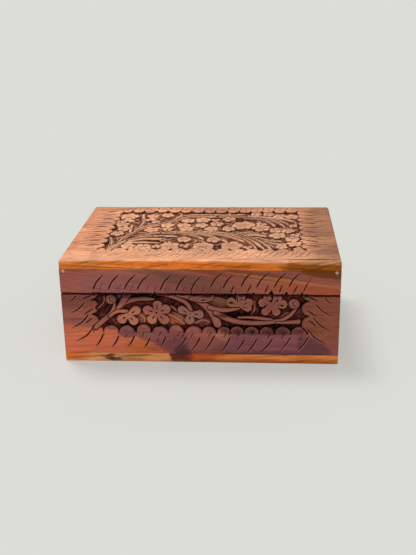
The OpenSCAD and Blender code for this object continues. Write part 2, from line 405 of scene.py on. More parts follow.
    def nail_seats(self, places):
        """The pits that nails are driven into: discs sunk a little past the face of the nails' heads."""
        for u, v in places:
            win, gu, gv = self.window([(u, v)], NAIL_SEAT + 0.5)
            pit = smooth((NAIL_SEAT - np.hypot(gu - u, gv - v)) / 0.2 + 0.5)
            self.depth[win] = np.maximum(self.depth[win], 0.35 * pit)
            self.darken(win, 0.8 * pit)

    # -- small leaves wherever the ground is still bare

    def fill(self, field, step, radius, top):
        """Puts leaflets on a shaken lattice wherever nothing stands yet."""
        u0, u1, v0, v1 = field
        for cv in np.arange(v0 + step, v1 - step / 2, step):
            for cu in np.arange(u0 + step, u1 - step / 2, step):
                u = cu + self.rng.uniform(-0.3, 0.3) * step
                v = cv + self.rng.uniform(-0.3, 0.3) * step
                r = radius * self.rng.uniform(0.8, 1.15)
                turn = math.radians(self.rng.uniform(0, 180))
                here = self.depth[self.window([(u, v)], r * 0.8)[0]]
                if here.size and here.min() >= 0.72 * self.ground - 0.35:
                    c, s = r * math.cos(turn), r * math.sin(turn)
                    curve = [(u - c, v - s), (u + 0.2 * s, v - 0.2 * c), (u + c, v + s)]
                    self.vine(curve, 0.42 * r, 0.5 * r, top, ribs=1, body=1.35, rib=0.25)

    # -- the whole face

    def finish(self, wander=0.05, open_ground=0.66):
        """Adds the slow unevenness of a hand-planed face, and darkens whatever lies deep, as a dark stain in
        the
        ground with painted shade over it: fully close under the motifs' walls, where shade falls, by
        `open_ground` in the open."""
        self.depth = softened(self.depth) + wander * self.noise(14, 7)
        deep = smooth((self.depth - 0.35 * self.ground) / (0.5 * self.ground))
        # painted shade: darkest within about a millimetre of the motifs' walls
        walls = blurred((self.depth < 0.5 * self.ground).astype(float), int(1.1 / middle_gap(self.vs)))
        patchy = open_ground + 1.9 * walls * (1 - open_ground) + 0.5 * (self.noise(4, 8) - 0.5)
        self.stain = np.clip(np.maximum(self.stain, deep * patchy), 0, 1)

    def paint_seam_shadow(self, v):
        """Painted shadow along the edge of the board at height v, where the lid meets the box, less near its
        ends.
        """
        reach = (0.5 + 0.6 * self.noise(3, 9)) * np.where(np.abs(self.u) < 61, 1, 0.5)
        self.darken(..., smooth(1.25 - np.abs(self.v - v) / reach))

    def shade(self, u, v, wide, tall, amount):
        """Adds painted shade in an oval with a soft edge, or with a negative amount takes stain and painted
        shade away.
        """
        far = np.hypot((self.u - u) / wide, (self.v - v) / tall)
        self.stain = np.clip(self.stain + amount * smooth(1.5 - far), 0, 1)

    def worn(self):
        """Rubbed wood: proud motifs a little, as wear, and their crests, found by the depth's Laplacian,
        fully, as wear with a painted highlight.
        """
        d = self.depth
        ring = np.zeros(d.shape)
        ring[1:-1, 1:-1] = (d[2:, 1:-1] + d[:-2, 1:-1] + d[1:-1, 2:] + d[1:-1, :-2]) / 4 - d[1:-1, 1:-1]
        step = middle_gap(self.us)
        return np.clip(ring * 0.8 / step ** 2 + 0.3 * self.proud * (1 - self.stain), 0, 1)


def mirrored(cut, rows, **manner):
    """Makes cuts right of the middle and their mirror images left of it. A row is the start's and the end's u
    and v, and for a stroke its bow."""
    for s in (1, -1):
        for u0, v0, u1, v1, *bow in rows:
            cut(s * u0, v0, s * u1, v1, *(s * b for b in bow), **manner)


# ---------------------------------------------------------------- the patterns that were cut


def carve_front(r):
    """The front wall: vines and five flowers over a dark ground, above a border of slanting leaves."""
    low_row = [(-58.6, 2.7, 3), (-51.2, 4.3, 3.9), (-42.2, 4.4, 3.7), (-32.4, 3.8, 4.6), (-22.9, 4.7, 3.3),
               (-13.7, 4, 4.4), (-3.7, 4.6, 3.9), (5.2, 3.9, 3.6), (13.5, 3.4, 3.5), (21.2, 3.5, 3.7),
               (29.6, 3.8, 3.6), (38.1, 3.7, 3.7), (47.1, 4.2, 3.8), (56.5, 4.2, 3.9)]
    end_row = [(24.6, 4.5, 3.4), (34.1, 4.1, 3.5), (43.2, 4.3, 3.6)]
    r.sink_ground(FRONT_FIELD, "lrb", {"b": low_row, "l": end_row, "r": end_row})
    # broad low leaves that lie half sunk in the ground
    r.vine([(7.2, 40.2), (11.5, 38.6), (16.6, 37.4)], 2.3, 2, top=1.15, ribs=2, body=1.2, rib=0.3)
    r.vine([(-16.8, 29.4), (-12.8, 27.2), (-8.6, 23.6)], 2.4, 1.6, top=0.95, ribs=1, body=1.25, rib=0.2)
    r.vines([
        (1.4, 0.9, 1.1, 1, 1.4, 0, -34.2, 29.4, -31.6, 27, -31.8, 24.4),
        (1.7, 1.1, 1.1, 1, 1.3, 0, -2, 24.8, 2, 26.4, 5.8, 24.8),
        (1.5, 1.6, 1.3, 1, 1.2, 0, 28.8, 29.4, 31.2, 33.2, 30.8, 38.6),
        (1.2, 1, 1.2, 1, 1.3, 0, 45.6, 28.4, 49.4, 31.2, 51.6, 30.4),
        (1.1, 1, 1.1, 0, 1.2, 0, -16.6, 34.6, -14.4, 33.4, -12.8, 31.6),
        (1.4, 1, 1, 1, 1.2, 0, -57.6, 33.6, -54.6, 36.8, -54.2, 40.6),
        # left: the forked stem and the long sweep under the seam
        (1.35, 1, 0.25, 0, 1, 0, -60, 21.6, -55.6, 25.4, -50.8, 29.4, -46.6, 33.2, -41.6, 37, -34.6, 38.9,
         -25.6, 39),
        (1, 2.3, 0.25, 0, 1, 1, -46.4, 33.6, -43.2, 37.6, -41.1, 42.2),
        (0.85, 0.8, 0.35, 0, 1, 0, -51.2, 29.6, -48.9, 33.6, -48.4, 36.8)])
    r.bud(-50.4, 38.5, 2.8)
    r.bud(-45.6, 40.6, 1.4, top=0.8)
    r.vines([
        (0.85, 1.1, 0.3, 0, 1, 1, -51.6, 28.4, -46.8, 31.4, -41.6, 31.2),
        # the great S: from a thin tip at the seam down to its foot among the leaf tips
        (0.7, 2.1, 0.2, 0, 1.12, 1, -12, 41.5, -6.4, 40.3, -1, 38.3, 4.4, 34.4, 8.2, 29.2, 10.2, 24),
        (1, 2.2, 0.22, 0, 1.2, 1, -5, 39.6, 1.6, 39.4, 6, 40.6)])
    r.eyelet(2.3, 38.8, 1.6, 0.6, turn=8)
    r.vines([
        # stem of the third flower, beside the S
        (0.9, 1.1, 0.3, 0, 1, 1, -23.6, 42.4, -17.6, 41.3, -11.6, 39.2, -6.9, 36.2, -4.6, 31.6),
        # the vine that leaves the S to the right, and its low return to the last bud
        (1.2, 1, 0.25, 0, 1, 0, 5.6, 34.2, 11.6, 32.7, 17.6, 33, 24, 34.8),
        (0.5, 0.9, 0.35, 0, 1.2, 0, 22.2, 28.3, 29, 28.4, 36.4, 27.6, 42, 26.8),
        (1.5, 0.9, 0.25, 0, 1, 0, 9.2, 31, 14.2, 28.2, 20.4, 25.9, 29, 24.9, 38, 25.3, 45.4, 26.6,
         50.4, 29.4, 53.4, 32.6, 55.2, 35.6),
        (0.6, 1.25, 0.28, 0, 1, 1, 43.4, 25.6, 49, 25.5, 55.8, 26)])
    r.bud(53.3, 36.8, 2.9)
    # flowers, left to right
    r.petals((-40.9, 29.5), [(-36.3, 31.9, 2.7), (-44.6, 26.5, 2.8), (-38, 25.6, 2.7)])
    r.petals((-24.5, 30.9), [(-23.9, 35.4, 2.6), (-19.3, 32.9, 2.7), (-29.4, 32.2, 2.8), (-27.3, 26.7, 2.9),
                             (-20.3, 26.5, 2.9)], heart=0.65)
    r.petals((-5.1, 30.5), [(-9.9, 32.6, 2.4), (-5.7, 26.6, 2.8), (-0.3, 29.9, 2.6)])
    r.petals((22.4, 35.9), [(18.1, 37.5, 2.8), (23.4, 40.4, 2.5), (27.6, 37.4, 2.5), (27.2, 34.2, 2.1)],
             slit=0.35, heart=0)
    r.stroke(20.6, 41.8, 21.6, 37.6, 0.12, 0.5, 1.3)
    r.petals((41.1, 35.8), [(36, 37.4, 2.6), (38.3, 40.4, 2.1), (44, 40, 2.4), (46.8, 36.6, 2.6),
                            (43.3, 31.9, 2.2), (37.2, 32, 2.2)], slit=0.3, heart=0)
    for hole in [(18, 37.3, 1.4, 0.8), (24.2, 39.4, 0.6, 0.6), (40.3, 38.6, 0.9, 0.85),
                 (37.2, 35.6, 1.1, 0.6, 25), (46.5, 35.9, 1.1, 0.65, -20), (44, 38.9, 0.6, 0.8)]:
        r.eyelet(*hole)
    # border below: one long cut under every nick, one short scoop in every leaf
    for line in [(-46.8, 16.6, -51.2, 9), (-37.8, 16.4, -42, 9.3), (-28.8, 15.2, -32.6, 8.8),
                 (-19.6, 16.4, -23, 9.8), (-7.8, 16.2, -12.4, 9.5), (0.2, 16, -5.2, 7.4),
                 (8.5, 17.5, 1.9, 6.9), (17.4, 15.9, 11.6, 6.6), (25.6, 15.2, 20.2, 7),
                 (32.7, 15.7, 26.8, 6.6), (41.6, 15.9, 34.2, 6.4), (51.7, 17, 46.1, 8.3),
                 (61.8, 17.2, 55.2, 7.6), (-55.8, 17.4, -60.4, 9.6)]:
        r.stroke(*line, bow=0.045, half=0.46, deep=1.3)
    for u, v in [(-57, 15), (-43.4, 15.2), (-33.6, 15.6), (-25, 12.6), (-24, 16.2), (-15.4, 12.6),
                 (-13.2, 16.4), (-10.6, 15.4), (-5, 16.2), (4.8, 16.6), (13.6, 15.6), (21.4, 16.6),
                 (29.6, 17.6), (38.6, 15.8), (46.4, 15.6), (56.4, 14.6)]:
        lean = r.rng.uniform(0.9, 1.9)
        r.gouge(u, v, u + lean, v + r.rng.uniform(2.4, 3.6), 0.55, 0.32, 0.55)
    for u in np.arange(-52, 60, 4.3):
        v = 18.2 + r.rng.uniform(-0.6, 1.2)
        r.gouge(u, v, u + 0.5, v + 1.9, 0.35, 0.16, 0.28)
    # borders right and left: the long cuts droop away from the field
    mirrored(r.stroke, [(65.4, 37, 74.4, 30, -0.08), (63.6, 29.6, 73.9, 20.8, -0.08),
                        (60.8, 22.2, 72, 12.6, -0.09), (70, 41.2, 74, 37.3, -0.05)], half=0.42, deep=1.3)
    mirrored(r.gouge, [(61.4, 41.3, 66.2, 39.3), (61, 33, 65.8, 30), (61.8, 27.2, 65.6, 24.2)],
             half=0.7, deep=0.5, dark=0.75)
    mirrored(r.gouge, [(66.6, 41.4, 69.6, 39.8), (72.2, 33.6, 75.4, 30.8), (68, 20.4, 71, 17.6)],
             half=0.4, deep=0.16, dark=0.3)
    r.finish()
    r.paint_seam_shadow(RIM)
    # painted shadow under the vines, along the seam and round the low leaf tips, then less stain and painted
    # shade on the low leaves' paler wood
    for spot in [(34, 20.6, 30, 2.6, 0.45), (-37, 41, 17, 1.5, 0.5), (9, 41.4, 12, 1.3, 0.5),
                 (14, 29.6, 6, 1.3, 0.5), (27, 30.6, 9, 1.2, 0.4), (11.5, 37.5, 5.5, 3.6, -0.45),
                 (-13, 26.5, 5, 4.2, -0.4), (2.2, 25, 4.6, 2.4, -0.25), (30.6, 34, 2.6, 4.6, -0.3),
                 (-33, 26.6, 2.6, 3.6, -0.3)]:
        r.shade(*spot)


def carve_front_rail(r):
    """The lid's front rail: slanting cuts above the field, with nicks where the leaf tips meet the seam."""
    for line in [(-60.2, 44.8, -53.6, 53.8), (-51.6, 44.6, -44.7, 54.2), (-42.4, 45, -35, 54.4),
                 (-35.1, 44.8, -27.2, 54.5), (-22, 44.8, -15.2, 54.2), (-13.2, 44.2, -6.9, 53.8),
                 (-4.8, 44.2, 1.5, 53.6), (6.4, 46.8, 13.3, 55.6), (13.5, 46.1, 19.2, 54.4),
                 (23.5, 47.1, 29.8, 56), (32.2, 47, 39.7, 56.2), (41.9, 46.9, 48.9, 55.9),
                 (50.2, 47.3, 56.3, 55.7)]:
        r.stroke(*line, bow=0.07, half=0.42, deep=1.3, tail=0.35)
    r.stroke(58.2, 44.4, 62.4, 52.2, bow=0.05, half=0.36, deep=0.6, dark=0.75)
    for u in (-56.4, -47.4, -45.6, -39, -29.8, -25.6, -17.8, -19.4, -9.4, 1.6, 11, 17.8, 27.2, 37, 45, 52.6):
        v = 43.6 + r.rng.uniform(0, 0.8)
        lean = r.rng.uniform(1.4, 2.3)
        dark = 0.32 if u < 15 else 0.7
        r.gouge(u, v, u + lean, v + r.rng.uniform(3.4, 4.8), 0.66, 0.34, dark)
    for u, wide, tall in [(-51, 1.6, 0.7), (-43, 2.2, 0.9), (-34.2, 1.6, 0.7), (-25.2, 1.9, 1.5),
                          (-15, 1.6, 0.7), (-4.5, 1.6, 1.3), (4.5, 2, 0.9), (12.6, 1.6, 0.8), (20.5, 2.4, 1),
                          (30.5, 2.6, 1.3), (40.3, 3.6, 2.6), (48.8, 2.6, 2), (57.4, 2, 2)]:
        r.notch(u, LID_RIM, wide, tall)
    r.finish()
    r.paint_seam_shadow(LID_RIM)
    r.nail_seats(RAIL_NAILS)


def carve_end(r):
    """An end wall: the same border, and a vine of one sweep with four flowers."""
    r.sink_ground(END_FIELD, "lrb")
    r.vines([
        (1.7, 1.4, 1.1, 1, 1.4, 0, -13, 25, -10, 28, -7, 26),
        (1.7, 1.7, 1.1, 1, 1.4, 0, 9, 39, 12, 37.4, 15, 38.6),
        (1.3, 1.2, 1.1, 1, 1.3, 0, -15, 33.6, -11, 34.2, -7.6, 32.6),
        (1.3, 1, 1.1, 1, 1.3, 0, 20.6, 28.6, 23.6, 30.4, 25.2, 33),
        (1.7, 1, 0.25, 0, 1, 0, -35.4, 22, -29.6, 29, -20, 37, -8.4, 38.2, 2, 33.4, 9.4, 26.8, 18, 25,
         26, 28.6, 30.6, 35.6),
        (1, 2.2, 0.3, 0, 1, 1, -27.6, 31.4, -27, 36, -24.6, 42.2),
        (0.9, 0.9, 0.3, 0, 1, 1, -23, 34.4, -18.6, 32.4, -16.4, 29.6),
        (1, 2, 0.25, 0, 1, 1, -4.6, 37, 2, 38.6, 6.8, 41.4),
        (0.95, 0.9, 0.3, 0, 1, 1, 8, 28.2, 13, 31.8, 16.6, 34.8)])
    r.bud(31, 38.2, 2.7)
    r.bud(-31.6, 37.6, 2.5)
    r.eyelet(-25.4, 38.6, 1.2, 0.55, turn=65)
    r.eyelet(3.6, 39.6, 1.2, 0.5, turn=20)
    r.flower(-16.6, 27.2, 5.6, 5, 20)
    r.flower(-2.4, 26.8, 4.6, 3, 90)
    r.flower(18.6, 35.8, 5.6, 5, 50)
    r.flower(29, 24.4, 3, 3, 30, top=0.4)
    for u in np.arange(-29, 34, 9):
        shake = r.rng.uniform(-0.5, 0.5, 3)
        r.stroke(u + shake[0], 16.6, u - 5 + shake[1], 7.6 + shake[2], bow=0.07, half=0.56)
        r.gouge(u - 4.4, 15.2, u - 3, 18.4, 0.55, 0.3, 0.5)
        r.gouge(u + 0.6, 17.8, u + 1.1, 19.6, 0.35, 0.16, 0.28)
    mirrored(r.stroke, [(41, 36.8, 49.4, 30.2, -0.08), (39.4, 29.2, 49, 20.8, -0.08),
                        (37.2, 21.6, 47.6, 12.4, -0.08)], half=0.48)
    mirrored(r.gouge, [(37.4, 41, 42, 39.2), (37.4, 33, 41.8, 30.2), (37.6, 27, 41.2, 24.2)],
             half=0.7, deep=0.5, dark=0.7)
    r.finish()
    r.nail_seats(WALL_NAILS)


def carve_end_rail(r):
    """The lid's end rail: slanting cuts at the border's own spacing."""
    for u in np.arange(-39, 36, 8.8):
        shake = r.rng.uniform(-0.5, 0.5, 3)
        r.stroke(u + shake[0], 45, u + 6.8 + shake[1], 54.6 + shake[2], bow=0.09, tail=0.35)
        r.gouge(u + 4, 43.8, u + 6, 47.6, 0.66, 0.34, 0.5)
        r.notch(u + 2, LID_RIM, 2 + shake[0], 1.1 + 0.4 * shake[1])
    r.finish()


def carve_lid(r):
    """The lid's top: ribbed leaves that fan out from a root at the front left, and nearly fifty flowers."""
    back = [-55.3, -47.6, -39.9, -31.6, -23.2, -15.8, -7.6, 0.2, 7.6, 15.6, 23.5, 31.1, 38.4, 46.2, 54]
    side = [-27.4, -18, -9, -0.2, 9, 17.8, 26.6, 35, 42.6]
    back_row = [(u, r.rng.uniform(3.2, 3.8), r.rng.uniform(3, 3.9)) for u in back]
    side_row = [(v, r.rng.uniform(3.7, 4.2), r.rng.uniform(2.8, 3.5)) for v in side]
    r.sink_ground(LID_FIELD, "lrbt", {"t": back_row, "l": side_row, "r": side_row})
    r.vines([
        # stems that run under the flowers
        (0.8, 0.9, 0.35, 0, 1, 0, -47.6, 14, -47, 6, -46.6, 0),
        (1.6, 1.1, 0.25, 1, 1, 0, -50.4, -20, -47.4, -7.6, -43.2, 2, -41.4, 13, -41, 24, -42.6, 32,
         -43.2, 40),
        (1.6, 1.5, 0.22, 1, 1.25, 0, -42.4, 5, -37.6, 11.6, -29, 17.6, -22.6, 24.6, -19, 32, -17.4, 39),
        (1.2, 1.2, 0.25, 1, 1, 0, -24, 20.4, -18.6, 26.4, -13, 32.6, -4, 33.6, 5, 33),
        (1.1, 1.2, 0.3, 1, 1, 0, -16, 36, -8, 38, 2, 38.2, 12, 37.6, 24, 38.4),
        (0.9, 1.3, 0.4, 1, 1, 1, -36, 24.6, -33.2, 31, -32.6, 38),
        (1.3, 1.1, 0.22, 1, 1, 0, 8, 33.6, 14, 35, 20, 33.6, 30, 31.8, 38, 28.8, 44.6, 21.6, 49, 12),
        (1.2, 1.1, 0.28, 1, 1, 0, 24, 30.4, 33, 28.4, 38.6, 23, 43, 13),
        (1.2, 1.1, 0.25, 1, 1, 0, 33, 31.6, 43, 28.4, 49.4, 20.8, 53.4, 11),
        (1, 1, 0.35, 0, 1, 0, 26, 35, 36, 32.6, 47, 29.8, 56, 22.6),
        (1.2, 1.2, 0.35, 1, 1, 0, 20, -1.6, 29, -1.4, 38, -2.4),
        (1, 1, 0.35, 0, 1, 0, 22, -5.2, 31, -5.2, 38, -7.2),
        (1.1, 0.9, 0.35, 1, 1, 0, 27, -9, 33, -10.6, 40, -15.4, 46.6, -16.4),
        (1.2, 0.9, 0.3, 1, 1, 0, 32, -14, 38, -18.6, 44.6, -22, 50, -22.4),
        (1.1, 1, 0.35, 1, 1, 0, 35, -19.4, 41, -26, 46.6, -30.4),
        # root and the great ribbed leaf: the spine, its stepped ridges, then the curled blades
        (0.9, 2.2, 0.25, 1, 1, 1, -56.6, -11, -54.4, -20, -53, -33.6),
        (2.3, 0.9, 0.2, 2, 1, 0, -53.4, -33.6, -50.4, -24.6, -45, -16, -38, -9.8, -28, -7.6, -16, -8.6),
        (1.1, 0.8, 0.3, 0, 1, 0, -44.6, -18.4, -38.6, -14.4, -30, -13.4, -21, -14.8),
        (1, 0.7, 0.4, 0, 1, 0, -46, -22, -40.6, -20.2, -33, -20.2, -26, -20.6),
        (1.2, 1.5, 0.2, 2, 1, 0, -39, -7.4, -32, -2.4, -20, 0.8, -6, 1.6, 6, 0.6, 16, -3, 24.4, -10.4,
         30.6, -18.6, 36.4, -31.6),
        (1.1, 1.1, 0.25, 1, 1, 0, -26, -1.6, -14, -2.6, -6, -6.6, 0, -13.4),
        (1.3, 1, 0.2, 1, 1, 0, -16, -1.6, -4, -3, 5, -8, 11.6, -15.6, 14.6, -18.8),
        (1.3, 1, 0.2, 1, 1, 0, -4, -1, 8, -4, 17, -10, 24.6, -18.2),
        (1.2, 1.1, 0.25, 1, 1, 0, 12, -3.6, 20.6, -9.6, 27.6, -19, 31.8, -31),
        (1.1, 1, 0.25, 1, 1, 0, 24, -6, 30.6, -12.6, 36, -21, 40.4, -31.6)])
    # flowers: back, middle and front, as place, radius, petals and turn
    for flower in [
            (-52, 33.6, 6.2, 5, 10), (-36.4, 34.6, 4.2, 5, 30), (-36.6, 26.6, 4, 3, 200),
            (-27, 36.4, 4.4, 5, 60), (-3, 25.4, 5, 5, 15), (13.8, 28, 4.6, 5, 40), (39, 39, 4, 5, 0),
            (46.4, 35.4, 4.6, 5, 50), (53.8, 33.8, 4.8, 5, 20), (31, 39.2, 3.8, 5, 70),
            (5, 26, 3.2, 3, 30), (-51.6, 25, 4.8, 3, 95), (-12.4, 24.4, 4.4, 5, 35),
            (-25, 14.6, 4.4, 5, 80), (-33.4, 21.4, 3, 3, 0), (-53.6, 15.6, 4.4, 5, 25),
            (-23.8, 6.4, 3.6, 5, 20), (-33.8, 5, 4.8, 5, 45), (-51.4, 7, 4.4, 5, 5),
            (-53.8, -3, 4.4, 5, 60), (-14.4, 14, 4.6, 5, 10), (-12.2, 6.8, 4.8, 5, 30),
            (-3.2, 14.6, 4.4, 5, 75), (3.4, 7.6, 4.6, 5, 45), (6.4, 17.6, 4.4, 5, 12),
            (23, 14.4, 7.6, 6, 12), (14.2, 7, 4.2, 5, 50), (34.6, 8.8, 6, 5, 33),
            (34, 17.6, 3.8, 3, 120), (43.4, 4.6, 4.4, 5, 10), (50.6, 4, 4.2, 5, 64),
            (55.6, -4.6, 3.4, 3, 170), (44.4, -6, 5.2, 5, 41), (53, -12, 4.6, 5, 15),
            (-43, -28, 5, 5, 18), (-34.6, -28.6, 5, 5, 55), (-19.4, -26.4, 6.8, 5, 36),
            (-27, -27, 3.2, 3, 90), (-11.6, -14.4, 4.4, 5, 10), (-10, -25.6, 3.4, 3, 50),
            (0.8, -26.6, 6.8, 6, 25), (6.2, -14.8, 4.4, 5, 70), (17.4, -25.6, 7.2, 5, 5),
            (54, -21.4, 4.6, 5, 22), (46.4, -27, 3.6, 5, 48), (54.6, 15, 3.2, 3, 60),
            (-56.6, 22, 2.4, 3, 0), (56, -30, 3, 3, 80), (26.8, -28.8, 3, 3, 35)]:
        r.flower(*flower, top=0.2 + 0.25 * r.rng.random())
    r.fill(LID_FIELD, 4.6, 2.2, top=0.75)
    for hole in [(-48.6, 32.4, 1, 1, 0), (-32.9, -27.2, 1.2, 0.8, 20), (19, 15.6, 0.9, 0.8, 0),
                 (24.2, 16.4, 1.1, 0.8, 30), (33.6, 16.4, 1.6, 0.8, 10), (52.6, -28, 1.6, 1.8, 0)]:
        r.eyelet(*hole, deep=1)
    # border cuts: front, back, then both sides
    for u in np.arange(-60, 63, 4.45):
        shake = r.rng.uniform(-0.7, 0.7, 4)
        r.gouge(u + shake[0], -36.6 + 0.5 * shake[1], u - 2.6 + 0.5 * shake[3], -43.6 + 1.6 * shake[2],
                half=1, deep=0.6, dark=0.3)
    for u in np.arange(-58, 64, 4.45):
        shake = r.rng.uniform(-0.6, 0.6, 3)
        r.stroke(u + shake[0], -38.2, u - 4.6 + shake[1], -48.4 + 1.6 * shake[2], 0.05, 0.55, 0.6, 0.32)
    for u in back:
        shake = r.rng.uniform(-0.5, 0.5, 3)
        r.stroke(u - 3.6 + shake[0], 47.4, u - 2.2 + shake[1], 51.6, 0.05, 0.5, 0.7, 0.6)
        r.gouge(u + shake[2], 46.4, u + 1, 49.8, 0.7, 0.4, 0.45)
    for s in (1, -1):
        for v in side:
            shake = r.rng.uniform(-0.5, 0.5, 4)
            r.gouge(s * 61.2, v + 1.2 + shake[0], s * (68 + shake[1]), v - 0.8 + shake[2], 1.35, 1, 0.95)
            r.stroke(s * 62.2, v + 4.9 + shake[2], s * (72.6 + shake[3]), v + 2, 0.08 * s, 0.55, 0.7, 0.7)
    r.finish(wander=0.06, open_ground=0.5)


# ---------------------------------------------------------------- meshes


def put_mesh(name, points_mm, faces, smooth_faces, marks):
    """Makes one object from points in mm, faces as index lists, and point attributes by name. The first
    `smooth_faces` faces are shaded smooth. Normals are turned outwards on the closed shell."""
    mesh = bpy.data.meshes.new(name)
    mesh.from_pydata(np.asarray(points_mm) * MM, [], faces)
    mesh.polygons.foreach_set("use_smooth", np.arange(len(mesh.polygons)) < smooth_faces)
    for mark, values in marks.items():
        layer = mesh.attributes.new(mark, "FLOAT", "POINT")
        layer.data.foreach_set("value", np.asarray(values, np.float32).ravel())
    work = bmesh.new()
    work.from_mesh(mesh)
    bmesh.ops.recalc_face_normals(work, faces=work.faces)
    work.to_mesh(mesh)
    work.free()
    mesh.update()
    piece = bpy.data.objects.new(name, mesh)
    bpy.context.scene.collection.objects.link(piece)
    return piece


def grid_faces(rows, columns):
    """Quads of a grid that is stored row by row."""
    k = np.arange(rows * columns).reshape(rows, columns)
    quads = np.stack([k[:-1, :-1], k[:-1, 1:], k[1:, 1:], k[1:, :-1]], axis=-1)
    return quads.reshape(-1, 4).tolist()


def levels(low, high, pitch):
    """Values from low to high at about the pitch, with close rows over the soft edges at both ends."""
    count = max(2, int(round((high - low - 2 * SOFT_EDGE) / pitch)))
    lead = SOFT_EDGE * np.array([0, 0.2, 0.5])
    inner = np.linspace(low + SOFT_EDGE, high - SOFT_EDGE, count)
    return np.concatenate([low + lead, inner, (high - lead)[::-1]])


def side_point(side, across, inward, height, half_depth):
    """Puts board coordinates on side 0 front, 1 right, 2 back or 3 left of the box, in mm."""
    a = side * math.pi / 2
    c, s = round(math.cos(a)), round(math.sin(a))
    y = inward - half_depth
    return np.stack(np.broadcast_arrays(across * c - y * s, across * s + y * c, height), axis=-1)


def mitred_board(name, side, low, high, carve, pitch, ground, seed, planed=None):
    """One side of the body or lid. The outer face is a grid wrapped round half of each upright corner and
    sunk along its own normal by the carving's depth; caps, mitres and the inner face close it. `planed` is
    "top" or "bottom" where the edge runs into the groove along the hinges."""
    half, half_depth = (LENGTH / 2, DEPTH / 2) if side % 2 == 0 else (DEPTH / 2, LENGTH / 2)
    back = {1: 1, 3: -1}.get(side, 0)
    edge = high if planed == "top" else low
    slope = math.tan(HALF_STOP)
    fold = HINGE[1] + abs(edge - HINGE[2]) / slope
    bend = back * fold

    # the carved grid: along the board, round its corners and up
    straight = half - CORNER
    flat = np.linspace(-straight, straight, int(round(2 * straight / pitch)) + 1)
    if planed:
        flat = np.unique(np.append(flat[np.abs(flat - bend) > pitch / 3], bend))
    run = np.concatenate([-straight - (CORNER * CORNER_TURN)[::-1], flat, straight + CORNER * CORNER_TURN])
    angle = np.concatenate([-CORNER_TURN[::-1], np.zeros(len(flat)), CORNER_TURN])
    rows = levels(low, high, pitch)
    relief = Relief(run, rows, ground, seed)
    carve(relief)
    relief.stain[[0, -1]] = 0
    relief.proud[[0, -1]] = 0
    t = np.clip(1 - np.minimum(rows - low, high - rows) / SOFT_EDGE, 0, 1)
    rounding = SOFT_EDGE * (1 - np.sqrt(1 - t * t))
    radius = CORNER - np.maximum(relief.depth, rounding[:, None])
    across = np.clip(run, -straight, straight) + radius * np.sin(angle)
    inward = CORNER - radius * np.cos(angle)
    height = np.repeat(rows[:, None], len(run), axis=1)
    if planed:
        over = np.clip(back * across - HINGE[1], 0, None) * slope - abs(edge - HINGE[2])
        over = np.clip(over, 0, None)
        if planed == "top":
            height = height - over * smooth((height - (high - PLANE_FADE)) / PLANE_FADE)
        else:
            height = height + over * smooth(((low + PLANE_FADE) - height) / PLANE_FADE)

    # the shell: the grid, the inner face's four corners, and faces between them
    points = [side_point(side, across, inward, height, half_depth).reshape(-1, 3),
              side_point(side, np.array([-1, 1, -1, 1]) * (half - THICK), THICK,
                         np.array([low, low, high, high]), half_depth)]
    base = height.size
    in_low = [base, base + 1]
    in_high = [base + 2, base + 3]
    k = np.arange(base).reshape(height.shape)
    faces = grid_faces(*height.shape)
    smooth_count = len(faces)
    low_row = k[0].tolist()
    top_row = k[-1].tolist()
    mitre_left = k[:, 0].tolist() + [in_high[0], in_low[0]]
    mitre_right = k[:, -1].tolist() + [in_high[1], in_low[1]]
    if planed:
        knee = base + 4
        points.append(side_point(side, np.array([bend]), half - fold, edge, half_depth))
        if planed == "top":
            row, inner, plain_cap = top_row, in_high, low_row + in_low[::-1]
        else:
            row, inner, plain_cap = low_row, in_low, top_row + in_high[::-1]
        at = int(np.argmin(np.abs(run - bend)))
        if back > 0:
            faces += [row[:at + 1] + [knee] + inner[::-1], row[at:] + [knee]]
            mitre, inner_corner = mitre_right, inner[1]
        else:
            faces += [row[at:] + inner[::-1] + [knee], row[:at + 1] + [knee]]
            mitre, inner_corner = mitre_left, inner[0]
        faces.append(plain_cap)
        mitre.insert(mitre.index(inner_corner) + (planed == "bottom"), knee)
    else:
        faces += [top_row + in_high[::-1], low_row + in_low[::-1]]
    faces += [mitre_left, mitre_right, in_low + in_high[::-1]]
    points = np.vstack(points)
    plain = np.zeros(len(points) - base)
    # the first mark holds stain and painted shade, the second rubbed crests with a painted highlight
    marks = {"stain": np.append(relief.stain, plain), "worn": np.append(relief.worn(), plain)}
    return put_mesh(name, points, faces, smooth_count, marks)


def lid_lines(flat, start, end, pitch, rings):
    """Grid lines along the lid: fine from start to end, coarse beyond the carving, then over the edge."""
    coarse = 2.2 * pitch
    before = np.linspace(-flat, start, max(2, int((start + flat) / coarse)), endpoint=False)
    after = np.linspace(end, flat, max(2, int((flat - end) / coarse)))
    return np.concatenate([(-flat - rings)[::-1], before, np.arange(start, end, pitch), after, flat + rings])


